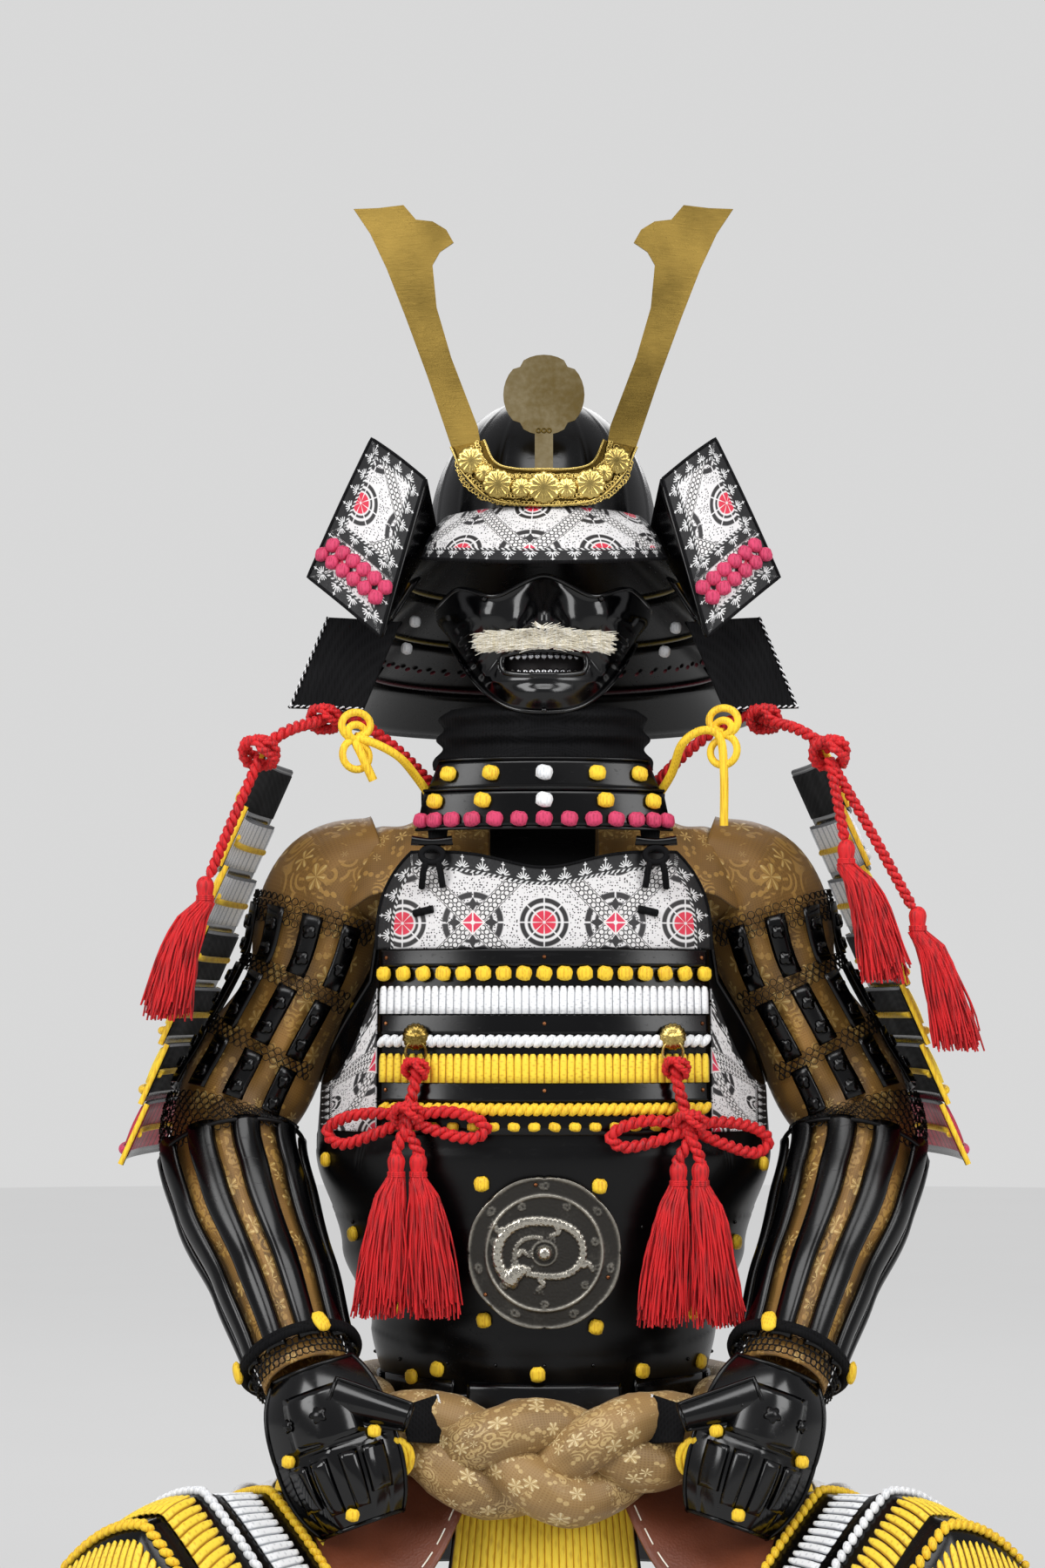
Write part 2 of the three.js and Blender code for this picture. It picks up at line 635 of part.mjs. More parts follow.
// Tassel: a head with locks fused to it
function tassel(top, length, lean, spread = 26) {
  const profile = [[0, -20], [7.4, -20], [6.2, -7], [8.8, 0], [6.6, 7.5], [0, 9.8]];
  const head = new THREE.LatheGeometry(profile.map(([r, h]) => new THREE.Vector2(r, h)), 6);
  head.rotateX(Math.PI / 2).translate(top.x, top.y, top.z);
  const locks = steps(TASSEL_LOCKS - 1).map((t, index) => {
    const ring = index % 3 === 0 ? 0.35 : 1;
    const angle = index * 2.4;
    const lock = new THREE.CylinderGeometry(1.7, 2.6, 1, 3, 1);
    lock.rotateX(Math.PI / 2);
    const reach = spread * ring;
    const end = vector(lean.x + reach * Math.cos(angle), lean.y + reach * 0.45 * Math.sin(angle), -length);
    return moveVertices(lock, (point) => {
      const along = 0.5 - point.z;
      const root = vector(5.2 * ring * Math.cos(angle), 5.2 * ring * Math.sin(angle), -12);
      const swing = along ** 0.8;
      return vector(
        top.x + root.x + (end.x - root.x) * swing + point.x,
        top.y + root.y + (end.y - root.y) * swing + point.y,
        top.z + lerp(root.z, end.z, along) - index * 0.3 * along,
      );
    });
  });
  return joined(head, ...locks);
}

// Red bow on the chest: a hanging stretch, two loops and two tails
function bowCord(side) {
  const drop = trunkAt(-340).b + 14;
  const p = (x, y, z) => vector(x * side, y, z);
  const upper = side < 0 ? { x: 118, z: -259.6 } : { x: 121, z: -258.7 };
  const centre = side < 0 ? { x: 125, z: -302 } : { x: 132, z: -310 };
  const level = -drop * 0.9;
  const stem = tube([p(upper.x, level + 6, upper.z), p(centre.x, level - 1, centre.z)], 8, 3);
  const inwardLoop = tube([
    p(centre.x, level, centre.z), p(centre.x - 36, level - 9, centre.z + 4), p(centre.x - 62, level - 14, centre.z - 2),
    p(centre.x - 72, level - 14, centre.z - 12), p(centre.x - 58, level - 13, centre.z - 20),
    p(centre.x - 28, level - 7, centre.z - 14), p(centre.x, level, centre.z - 4),
  ], 4.4, 6);
  const outwardLoop = tube([
    p(centre.x, level, centre.z), p(centre.x + 34, level + 12, centre.z + 2), p(centre.x + 62, level + 28, centre.z - 4),
    p(centre.x + 76, level + 38, centre.z - 16), p(centre.x + 62, level + 28, centre.z - 27),
    p(centre.x + 30, level + 10, centre.z - 17), p(centre.x, level, centre.z - 4),
  ], 4.4, 6);
  const tails = [-1, 1].map((way) =>
    tube([p(centre.x, level - 1, centre.z), p(centre.x + 5 * way, level - 3, centre.z - 16),
      p(centre.x + 10 * way, level - 4, centre.z - 32)], 4.4, 3));
  const knotBall = new THREE.IcosahedronGeometry(12, 0).scale(1.1, 0.8, 1.1).translate(centre.x * side, level, centre.z);
  const topBall = new THREE.IcosahedronGeometry(11, 0).scale(1, 0.8, 0.9).translate(upper.x * side, level + 4, upper.z);
  return {
    cord: joined(knotBall, topBall, stem, inwardLoop, outwardLoop, ...tails),
    ends: [-1, 1].map((way) => p(centre.x + 10 * way, level - 5, centre.z - 42.1)),
  };
}

// Arms: centre line from shoulder to wrist, with the sleeve radius at each place
const ARM = [
  { x: -150, y: 12, z: -70, r: 56 },
  { x: -204.5, y: 9, z: -92, r: 62 },
  { x: -232, y: 5, z: -175, r: 56 },
  { x: -274, y: 4, z: -258, r: 56 },
  { x: -299, y: -8, z: -322, r: 61 },
  { x: -282, y: -46, z: -385, r: 57 },
  { x: -250, y: -96, z: -452, r: 48 },
  { x: -222, y: -146, z: -518, r: 41 },
  { x: -214, y: -160, z: -537, r: 40 },
];
const armLine = new THREE.CatmullRomCurve3(ARM.map((row) => vector(row.x, row.y, row.z)), false, 'centripetal');

function armRadius(t) {
  const place = t * (ARM.length - 1);
  const index = Math.min(ARM.length - 2, Math.floor(place));
  return lerp(ARM[index].r, ARM[index + 1].r, smooth(place - index));
}

function armPoint(side, t, angle, out = 0) {
  const centre = armLine.getPoint(t);
  const along = armLine.getTangent(t);
  const front = vector(0, -1, 0.25);
  front.addScaledVector(along, -front.dot(along)).normalize();
  const lateral = along.clone().cross(front).normalize();
  const radius = armRadius(t) + out;
  centre.addScaledVector(front, radius * Math.cos(angle)).addScaledVector(lateral, radius * Math.sin(angle));
  return mirrored(centre, -side);
}

function sleeve(side) {
  const fold = (t, angle) => 3 * Math.sin(9 * Math.PI * t + 2 * angle) * bell(t - 0.45, 0.2);
  return wall({
    outer: (u, v) => armPoint(side, v, 2 * Math.PI * u, fold(v, 2 * Math.PI * u)),
    inner: (u, v) => armPoint(side, v, 2 * Math.PI * u, -CLOTH - 3.5),
    us: steps(9, 0, 9 / 10),
    vs: steps(8),
    innerVs: steps(8),
    ring: true,
  });
}

// Upper-arm guard: plates in rows, joined by chain, over the outer half of the sleeve
function upperArmGuard(side) {
  const columns = steps(8, radians(-60), radians(150));
  const at = (u, v, out) => armPoint(side, lerp(0.17, 0.46, v), u, out);
  const plateRow = [0, 0.08, 0.3, 0.36, 0.42, 0.66, 0.72, 1];
  const height = [7, 10, 10, 7, 10, 10, 7, 7];
  return wall({
    outer: (u, v) => at(u, v, height[plateRow.indexOf(v)]),
    inner: (u, v) => at(u, v, 4.8),
    us: columns,
    vs: plateRow,
    innerVs: steps(5),
  });
}

// Forearm guard: seven half-round splints over the sleeve, and the wrist tapes
function forearmGuard(side) {
  const splints = 6;
  const columns = [];
  for (let index = 0; index < splints; index += 1) {
    const start = lerp(-118, 118, index / splints) - 1;
    columns.push({ angle: start, out: 5 }, { angle: start + 8, out: 9 }, { angle: start + 29, out: 9 });
  }
  columns.push({ angle: 117, out: 5 });
  const at = (column, v, out) => armPoint(side, lerp(0.53, 0.93, v), radians(column.angle), out);
  return wall({
    outer: (column, v) => at(column, v, column.out),
    inner: (column, v) => at(column, v, 3.8),
    us: columns,
    vs: steps(4),
    innerVs: steps(4),
  });
}

// Hand guard: a domed plate with a raised ridge, in the frame of the back of the hand
function handGuard(side) {
  const centre = vector(-186, -204.4, -590);
  const long = vector(0.33, -0.16, -0.93).normalize();
  const face = vector(-0.12, -0.97, 0.16);
  face.addScaledVector(long, -face.dot(long)).normalize();
  const across = long.clone().cross(face).normalize();
  const at = (u, v, out) => {
    const side2 = 2 * u - 1;
    const reach = lerp(-72, 72, v);
    const halfWidth = 56 * Math.sqrt(1 - 0.55 * Math.abs(2 * v - 1) ** 2.6);
    const ridge = 4 * bell(side2, 0.16) * bell(v - 0.6, 0.3);
    const dome = 26 - 26 * Math.abs(side2) ** 2.2 - 16 * Math.abs(2 * v - 1) ** 3;
    const point = centre.clone().addScaledVector(long, reach).addScaledVector(across, side2 * halfWidth);
    return mirrored(point.addScaledVector(face, dome + ridge + out), -side);
  };
  return wall({
    outer: (u, v) => at(u, v, 0),
    inner: (u, v) => at(u, v, -3),
    us: steps(7),
    vs: steps(5),
    innerVs: steps(3),
  });
}

function thumbGuard(side) {
  const start = vector(-190, -214, -546);
  const end = vector(-120, -222, -562);
  const at = (u, v, out) => {
    const point = start.clone().lerp(end, v);
    const half = lerp(17, 11, v);
    const turn = lerp(-1, 1, u);
    point.x += half * 0.35 * turn;
    point.z += half * turn;
    point.y -= 9 * (1 - turn * turn) + out;
    return mirrored(point, -side);
  };
  return wall({ outer: (u, v) => at(u, v, 2.4), inner: (u, v) => at(u, v, 0), us: steps(3), vs: steps(2), innerVs: steps(2) });
}

// Large shoulder guard: seven lames that hang outside the arm
function shoulderGuard(side) {
  const lames = 7;
  const rows = [];
  for (let lame = 0; lame < lames; lame += 1) {
    rows.push({ t: lame / lames, out: 0 });
    rows.push({ t: (lame + 0.96) / lames, out: 7 });
  }
  const at = (u, v, out) => {
    const row = rows[Math.round(v * (rows.length - 1))];
    const y = lerp(-138, 146, u);
    const swell = 14 * (1 - ((2 * u - 1) ** 2));
    const x = lerp(254, 378, row.t) + row.out + swell + out;
    return vector(x * side, y, lerp(36, -346, row.t) - row.out * 0.3 - out * 0.3);
  };
  const vs = steps(rows.length - 1);
  return wall({
    outer: (u, v) => at(u, v, 3),
    inner: (u, v) => at(u, v, 0),
    us: steps(4),
    vs,
    innerVs: vs,
  });
}

// Red cords that carry the shoulder guard and end in tassels
function guardCord(side) {
  const p = (x, y, z) => vector(x * side, y, z);
  const main = tube([
    p(105, -32, 8.3), p(138, -60, 40), p(170, -78, 63), p(196, -88, 70.4), p(214, -112, 62), p(236, -138, 52),
    p(262, -149, 34),
  ], 5.5, 9);
  const knotBall = new THREE.IcosahedronGeometry(14, 0).scale(1, 0.8, 1).translate(262 * side, -148, 30);
  const ends = side < 0
    ? [p(306, -158, -84)]
    : [p(274, -160, -50), p(336, -156, -112)];
  const bends = ends.map((end) => vector(lerp(262 * side, end.x, 0.5), -158, lerp(24, end.z, 0.5)));
  const falls = ends.map((end, index) => tube([p(262, -150, 24), bends[index], end], 5, 5));
  const tops = ends.map((end, index) => end.clone().addScaledVector(end.clone().sub(bends[index]).normalize(), 9.9));
  return { cord: joined(knotBall, main, ...falls), tops };
}

// Shoulder strap from the back plate over the shoulder to the chest
function shoulderStrap(side) {
  const line = new THREE.CatmullRomCurve3([
    vector(98, 114, -9.1), vector(98, 84, -6.7), vector(98, 34, 3), vector(98, -20, 3), vector(100, -70, -8),
    vector(99, -98.4, -30), vector(99, -108, -52),
  ]);
  const sections = steps(10).map((t) => {
    const centre = line.getPoint(t);
    const along = line.getTangent(t);
    const normal = vector(0, 0, 1).addScaledVector(along, -along.z).normalize();
    if (t > 0.6) normal.lerp(vector(0, -1, 0), (t - 0.6) * 1.5).normalize();
    const half = (STRAP.width / 2) * (1 - 0.66 * t ** 2);
    return [[-half, -0.5], [half, -0.5], [half, 0.5], [-half, 0.5]].map(([x, h]) =>
      mirrored(centre.clone().add(vector(x, 0, 0)).addScaledVector(normal, h * STRAP.thick), side));
  });
  return loft(sections, 2);
}

// Toggle with its crossbar and two short straps
function toggle(side) {
  const x = 104 * side;
  const y = -110.3;
  const bar = new THREE.CylinderGeometry(4.5, 4.5, 34, 6).rotateZ(Math.PI / 2).translate(x, y, -50);
  const body = new THREE.CylinderGeometry(6, 5, 30, 6).rotateX(Math.PI / 2).translate(x, y - 1, -64);
  const straps = [-6.5, 6.5].map((shift) => new THREE.BoxGeometry(6, 3, 26).translate(x + shift, y - 2, -78));
  return joined(bar, body, ...straps);
}

// Yellow tape from the shoulder to the cord of the shoulder guard
function yellowTie(side) {
  const p = (x, y, z) => vector(x * side, y, z);
  const route = side < 0
    ? [p(103, -84.8, -11.2), p(118, -98, 10), p(134, -122, 28), p(156, -132, 40), p(174, -134, 44),
      p(168, -136, 28), p(158, -132, 6)]
    : [p(103, -84.8, -11.2), p(119, -100, 14), p(128, -128, 40), p(146, -136, 52), p(162, -136, 46),
      p(166, -136, 14), p(166, -132, -36)];
  const tape = tube(route, 4, 7);
  const bow = new THREE.IcosahedronGeometry(10, 0).scale(1, 0.7, 1);
  return joined(tape, bow.translate((side < 0 ? 174 : 166) * side, -134, side < 0 ? 44 : 48));
}

// Rope belt: three plaited strands across the front, one thick ring round the sides and back
function ropeBelt() {
  const plait = [0, 1, 2].map((strand) => {
    const points = steps(16).map((t) => {
      const x = lerp(-150, 150, t);
      const phase = 2 * Math.PI * (t * 1.05 + strand / 3) + 0.6;
      const middle = Math.sin(Math.PI * t);
      const rise = BELT.rise * Math.sin(phase) * lerp(0.3, 1, middle) + 32 * (1 - middle);
      const depth = 13 * Math.sin(2 * phase) * lerp(0.5, 1, middle);
      const front = -BELT.front * Math.sqrt(1 - (x / 225) ** 2);
      return vector(x, front - depth, BELT.height + rise);
    });
    return tube(points, BELT.strand, 11, 7);
  });
  const lift = 46;
  const back = steps(14, radians(58), radians(302)).map((angle) =>
    helmetPoint(angle, BELT.ringWidth, BELT.ringDepth, BELT.height + lift));
  const ends = [1, -1].map((side) => vector(146 * side, -134, BELT.height + 34));
  return joined(...plait, tube([ends[0], ...back, ends[1]], 17, 12, 6));
}

// Tassets: stepped laced rows that hang from the waist, under the rope and out over the lap
const TUCK = 0.2;
const TASSET_ROWS = [
  { t: 0, out: 0 }, { t: TUCK, out: 0 }, { t: 0.43, out: 2 }, { t: 0.46, out: 7 }, { t: 0.62, out: 3 },
  { t: 0.65, out: 8 }, { t: 0.8, out: 4 }, { t: 0.83, out: 9 }, { t: 1, out: 6 },
];
const LAP_LINE = [
  { x: 205, y: -138, z: -642 }, { x: 252, y: -190, z: -642 }, { x: 298, y: -252, z: -634 },
  { x: 336, y: -304, z: -652 }, { x: 352, y: -330, z: -712 },
];
const LAP_ACROSS = { x: -0.82, y: -0.57 };

function lapDrop(distance) {
  const inner = distance > 0;
  return (inner ? 105 : 60) * (Math.abs(distance) / 105) ** (inner ? 1.12 : 2);
}

// line(side) gives the top, the tucked point under the rope and the points beyond it
function tassetWall(line, outward, columns = 4) {
  const at = (u, v, out) => {
    const row = TASSET_ROWS[Math.round(v * (TASSET_ROWS.length - 1))];
    const [top, ...rest] = line(2 * u - 1);
    const curve = new THREE.CatmullRomCurve3(rest, false, 'centripetal');
    const point = row.t < TUCK ? top.lerp(rest[0], row.t / TUCK) : curve.getPoint((row.t - TUCK) / (1 - TUCK));
    return point.addScaledVector(outward, row.out + out);
  };
  const vs = steps(TASSET_ROWS.length - 1);
  return wall({
    outer: (u, v) => at(u, v, 3),
    inner: (u, v) => at(u, v, 0),
    us: steps(columns),
    vs,
    innerVs: vs,
  });
}

// A tasset that hangs: angle and half are its place round the waist, end is its lower middle
function hangingTasset({ angle, half, seat, end, wide, lift }) {
  const turn = radians(angle);
  const across = vector(Math.cos(turn), Math.sin(turn), 0);
  const outward = vector(Math.sin(turn), -Math.cos(turn), 0.25).normalize();
  return tassetWall((side) => {
    const place = radians(angle + side * half);
    const low = vector(...end).addScaledVector(across, side * wide);
    low.z -= lift * side * side;
    const tucked = trunkPoint(place, BELT.height - 2, 11);
    const knee = tucked.clone().lerp(low, 0.35).add(vector(0, 0, -8));
    return [trunkPoint(place, TASSET_TOP, seat), tucked, knee, tucked.clone().lerp(low, 0.7), low];
  }, outward);
}

// A tasset that lies over the thigh
function lapTasset(side) {
  const outward = vector(0.25 * side, -0.3, 0.92).normalize();
  return tassetWall((turn) => {
    const place = radians((52 - turn * 20) * side);
    const spread = LAP_LINE.map(({ x, y, z }, index) => {
      const distance = turn * lerp(66, 104, index / (LAP_LINE.length - 1));
      const drop = lapDrop(distance) * (index === LAP_LINE.length - 1 ? 0.6 : 1);
      return vector((x + LAP_ACROSS.x * distance) * side, y + LAP_ACROSS.y * distance, z - drop);
    });
    return [trunkPoint(place, TASSET_TOP, 1.2), trunkPoint(place, BELT.height - 20, 9), ...spread];
  }, outward);
}

const HANGING_TASSETS = [
  { name: 'tasset_front', angle: 0, half: 27, seat: 0.7, end: [0, -172, -800], wide: 96, lift: 0 },
  { name: 'tasset_hip_left', angle: -97, half: 20, seat: 1.3, end: [-352, 26, -700], wide: 92, lift: 20 },
  { name: 'tasset_hip_right', angle: 97, half: 20, seat: 1.3, end: [352, 26, -700], wide: 92, lift: 20 },
  { name: 'tasset_back_left', angle: -149, half: 26, seat: 1.9, end: [-132, 214, -770], wide: 96, lift: 8 },
  { name: 'tasset_back_right', angle: 149, half: 26, seat: 1.9, end: [132, 214, -770], wide: 96, lift: 8 },
];

// Leather thigh apron: lies under the lap tasset and turns down past the knee
function thighApron(side) {
  const line = new THREE.CatmullRomCurve3([
    ...LAP_LINE.map(({ x, y, z }) => vector(x, y, z)), vector(362, -340, -820),
  ]);
  const at = (u, v, out) => {
    const distance = lerp(-74, 118, u);
    const point = line.getPoint(lerp(0.08, 1, v));
    point.x += LAP_ACROSS.x * distance;
    point.y += LAP_ACROSS.y * distance;
    point.z -= lapDrop(distance) * lerp(1, 0.35, smooth((v - 0.5) / 0.5)) + 2.5;
    point.y += 14 * smooth((v - 0.55) / 0.3);
    point.x -= 12 * smooth((v - 0.55) / 0.3);
    return mirrored(point.add(vector(0, 0, out)), side);
  };
  const outer = (u, v) => at(u, v, 0);
  const inner = thicken(outer, LEATHER, (u, v) => outer(u, v).add(vector(-30 * side, 60, -80)));
  return wall({ outer, inner, us: steps(6), vs: steps(5), innerVs: steps(5) });
}

// The whole armour
addMesh('helmet_bowl', helmetBowl(), FINISH.lacquer);
addMesh('visor', visor(), FINISH.printed);
addMesh('crest_base', crestBase(), FINISH.gilt);
addMesh('crest_disc', crestDisc(), FINISH.brass);
addMesh('neck_guard', neckGuard(), FINISH.lacquer);
addMesh('mask', mask(), FINISH.lacquer);
addMesh('moustache', moustache(), FINISH.fur);
addMesh('neck_roll', neckRoll(), FINISH.blackCloth);
addMesh('throat_lame_upper', throatLame({
  high: 27, low: -1, width: 103, depth: 46, centre: 80, flare: 12,
  rowsOfKnots: [{ count: 5, v: 0.5, margin: 0.12 }],
}), FINISH.lacquer);
addMesh('throat_lame_lower', throatLame({
  high: -1.4, low: -38, width: 118, depth: 52, centre: 80, flare: 8,
  rowsOfKnots: [{ count: 5, v: 0.3, margin: 0.1 }, { count: 13, v: 0.78, margin: 0.04 }],
}), FINISH.lacquer);
addMesh('cuirass_front', cuirassFront(), FINISH.lacquer);
addMesh('cuirass_back', cuirassBack(), FINISH.lacquer);
addMesh('chest_plate', chestPlate(), FINISH.printed);
frontLames();
addMesh('medallion', medallion(), FINISH.silver);
addMesh('rope_belt', ropeBelt(), FINISH.ropeCloth);
HANGING_TASSETS.forEach((panel) => addMesh(panel.name, hangingTasset(panel), FINISH.yellow));

[{ word: 'left', side: -1 }, { word: 'right', side: 1 }].forEach(({ word, side }) => {
  addMesh(`crest_horn_${word}`, crestHorn(-side), FINISH.brass);
  addMesh(`turnback_upper_${word}`, upperTurnback(side), FINISH.printed);
  addMesh(`side_panel_${word}`, sidePanel(side), FINISH.printed);
  addMesh(`boss_${word}`, boss(side), FINISH.gilt);
  const bow = bowCord(side);
  addMesh(`bow_cord_${word}`, bow.cord, FINISH.red);
  bow.ends.forEach((end, index) => {
    const lean = vector(15 * (index === 0 ? -1 : 1) * side, -6, 0);
    addMesh(`chest_tassel_${word}_${index + 1}`, tassel(end, 134, lean, 22), FINISH.red);
  });
  addMesh(`sleeve_${word}`, sleeve(side), FINISH.brocade);
  addMesh(`upper_arm_guard_${word}`, upperArmGuard(side), FINISH.lacquer);
  addMesh(`forearm_guard_${word}`, forearmGuard(side), FINISH.lacquer);
  addMesh(`hand_guard_${word}`, joined(handGuard(side), thumbGuard(side)), FINISH.lacquer);
  addMesh(`shoulder_guard_${word}`, shoulderGuard(side), FINISH.yellow);
  const cords = guardCord(side);
  addMesh(`guard_cord_${word}`, cords.cord, FINISH.red);
  cords.tops.forEach((top, index) => {
    addMesh(`guard_tassel_${word}_${index + 1}`, tassel(top, 116, vector(38 * side, -4, 0), 20), FINISH.red);
  });
  addMesh(`shoulder_strap_${word}`, joined(shoulderStrap(side), toggle(side)), FINISH.blackCloth);
  addMesh(`yellow_tie_${word}`, yellowTie(side), FINISH.yellow);
  addMesh(`tasset_lap_${word}`, lapTasset(side), FINISH.yellow);
  addMesh(`thigh_apron_${word}`, thighApron(side), FINISH.leather);
});

export default group;
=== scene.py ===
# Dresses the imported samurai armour: lacquer, lacing, printed leather, brocade, cords, tassels
# and mail, and the studio that it stands in.
# Shapes are worked out in millimetres in the frame of the part: +Z up, the front faces -Y.
import math
import random

import bmesh
import bpy
from mathutils import Matrix, Vector, noise


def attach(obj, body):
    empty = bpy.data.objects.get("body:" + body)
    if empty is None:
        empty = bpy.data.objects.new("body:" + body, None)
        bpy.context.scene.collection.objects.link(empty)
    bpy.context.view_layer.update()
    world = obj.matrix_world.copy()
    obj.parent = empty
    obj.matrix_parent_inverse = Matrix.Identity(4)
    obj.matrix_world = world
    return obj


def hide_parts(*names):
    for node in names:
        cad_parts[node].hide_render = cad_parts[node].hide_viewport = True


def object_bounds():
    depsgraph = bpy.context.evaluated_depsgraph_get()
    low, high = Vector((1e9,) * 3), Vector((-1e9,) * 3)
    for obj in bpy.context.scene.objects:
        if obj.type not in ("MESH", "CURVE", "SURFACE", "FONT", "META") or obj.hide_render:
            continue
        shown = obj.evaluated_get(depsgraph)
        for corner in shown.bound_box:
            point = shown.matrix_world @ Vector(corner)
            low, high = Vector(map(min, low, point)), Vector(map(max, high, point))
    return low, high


bl_info = {
    "name": "Samurai armour",
    "version": (1, 0, 0),
    "blender": (4, 5, 0),
    "location": "3D View > Sidebar > Armour",
    "description": "Builds the pieces and finishes of a laced samurai armour round its solids",
    "category": "Object",
}

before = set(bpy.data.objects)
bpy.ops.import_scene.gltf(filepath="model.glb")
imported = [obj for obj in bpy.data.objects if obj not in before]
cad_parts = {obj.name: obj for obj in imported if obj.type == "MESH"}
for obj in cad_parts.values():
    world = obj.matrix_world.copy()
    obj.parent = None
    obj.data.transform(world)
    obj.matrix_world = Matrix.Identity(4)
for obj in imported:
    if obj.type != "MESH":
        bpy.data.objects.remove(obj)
CAD_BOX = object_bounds()
MM = 0.001
SIDES = (("left", -1), ("right", 1))
LACE_SLOTS = {"yellow": "yellow_lacing", "white": "white_lacing", "crimson": "red_silk"}


# Small sums

def lerp(a, b, t):
    return a + (b - a) * t


def clamp01(t):
    return min(1.0, max(0.0, t))


def smooth(t):
    t = clamp01(t)
    return t * t * (3 - 2 * t)


def bell(x, width):
    return math.exp(-((x / width) ** 2))


def steps(count, low=0.0, high=1.0):
    return [lerp(low, high, i / count) for i in range(count + 1)]


def mirrored(point, side):
    return Vector((point[0] * side, point[1], point[2]))


def smooth_line(points, count):
    """Points evenly placed on a smooth curve through the given ones"""
    knots = [Vector(p) for p in points]
    knots = [knots[0] * 2 - knots[1], *knots, knots[-1] * 2 - knots[-2]]
    dense = []
    for i in range(1, len(knots) - 2):
        a, b, c, d = knots[i - 1:i + 3]
        for t in steps(12)[:-1]:
            dense.append(0.5 * (2 * b + (c - a) * t + (2 * a - 5 * b + 4 * c - d) * t * t
                                + (3 * b - a - 3 * c + d) * t ** 3))
    dense.append(knots[-2])
    reach = [0.0]
    for a, b in zip(dense, dense[1:]):
        reach.append(reach[-1] + (b - a).length)
    line, i = [], 0
    for want in steps(count, 0, reach[-1]):
        while i < len(reach) - 2 and reach[i + 1] < want:
            i += 1
        share = (want - reach[i]) / max(1e-9, reach[i + 1] - reach[i])
        line.append(dense[i].lerp(dense[i + 1], clamp01(share)))
    return line


def along_line(line, t):
    """The point at share t of an even line"""
    place = clamp01(t) * (len(line) - 1)
    i = min(len(line) - 2, int(place))
    return line[i].lerp(line[i + 1], place - i)


def line_length(line):
    return sum((b - a).length for a, b in zip(line, line[1:]))


def frames_of(line):
    """A point, a side and a lift for each place on a line, turning as little as they can"""
    lift = Vector((0, -1, 0.2))
    found = []
    for i, point in enumerate(line):
        along = (line[min(i + 1, len(line) - 1)] - line[max(i - 1, 0)]).normalized()
        lift = (lift - along * lift.dot(along)).normalized()
        found.append((point, along.cross(lift), lift))
    return found


# A lace on its pattern, in millimetres, and the share of its place that stays open

LACE_WIDTH = 7
LACE_LENGTH = 40
LACE_GAP = 0.1


# The armour's own shape, as in the solids

TRUNK = ((60, 150, 100), (-60, 178, 122), (-150, 198, 130), (-250, 212, 136), (-340, 217, 140),
         (-430, 192, 131), (-500, 164, 120), (-570, 152, 113), (-700, 160, 118))
ARM = ((-150, 12, -70, 56), (-204.5, 9, -92, 62), (-232, 5, -175, 56), (-274, 4, -258, 56),
       (-299, -8, -322, 61), (-282, -46, -385, 57), (-250, -96, -452, 48), (-222, -146, -518, 41),
       (-214, -160, -537, 40))
ARM_LINE = smooth_line([row[:3] for row in ARM], 160)
HEM = -560
BELT_HEIGHT = -608
CREST_FRONT = -134.4
BOW_LEVEL = -138.6
BOWL_HALF_WIDTH = 110
BOWL_HALF_DEPTH = 128
BOWL_RIM_HEIGHT = 254
BOWL_RISE = 134
NECK_OPENING = 63  # degrees from the front to the guard's edge
MASK_HALF_WIDTH = 104
MASK_DEPTH = 122
MASK_TURN = 88  # degrees from the nose to each cheek's edge
GUARD_LAMES = 7
HAND_HALF_WIDTH = 56
HAND_HALF_LENGTH = 72
MEDALLION_RADIUS = 71
ARM_RUN = 640  # from shoulder to wrist
SLEEVE_RADIUS = 58
GOLDEN_ANGLE = 2.39996


def trunk_at(z):
    """Half width and half depth of the trunk at a height"""
    i = 0
    while i < len(TRUNK) - 2 and z < TRUNK[i + 1][0]:
        i += 1
    t = smooth((TRUNK[i][0] - z) / (TRUNK[i][0] - TRUNK[i + 1][0]))
    return lerp(TRUNK[i][1], TRUNK[i + 1][1], t), lerp(TRUNK[i][2], TRUNK[i + 1][2], t)


def trunk_point(angle, z, out=0.0):
    a, b = trunk_at(z)
    return Vector(((a + out) * math.sin(angle), -(b + out) * math.cos(angle), z))


def trunk_at_x(x, z, out=0.0):
    a = trunk_at(z)[0] + out
    return trunk_point(math.asin(max(-1.0, min(1.0, x / a))), z, out)


def ring_point(angle, width, depth, z):
    return Vector((width * math.sin(angle), -depth * math.cos(angle), z))


def arm_point(side, t, angle, out=0.0):
    """A point over the sleeve: t runs from the shoulder to the wrist, angle 0 is the front"""
    centre = along_line(ARM_LINE, t)
    along = (along_line(ARM_LINE, t + 0.01) - along_line(ARM_LINE, t - 0.01)).normalized()
    front = Vector((0, -1, 0.25))
    front = (front - along * front.dot(along)).normalized()
    lateral = along.cross(front).normalized()
    place = clamp01(arm_share(t)) * (len(ARM) - 1)
    i = min(len(ARM) - 2, int(place))
    radius = lerp(ARM[i][3], ARM[i + 1][3], smooth(place - i)) + out
    return mirrored(centre + front * radius * math.cos(angle) + lateral * radius * math.sin(angle), -side)


ARM_MARKS = [0.0]
for low_row, high_row in zip(ARM, ARM[1:]):
    ARM_MARKS.append(ARM_MARKS[-1] + (Vector(high_row[:3]) - Vector(low_row[:3])).length)
ARM_MARKS = [mark / ARM_MARKS[-1] for mark in ARM_MARKS]


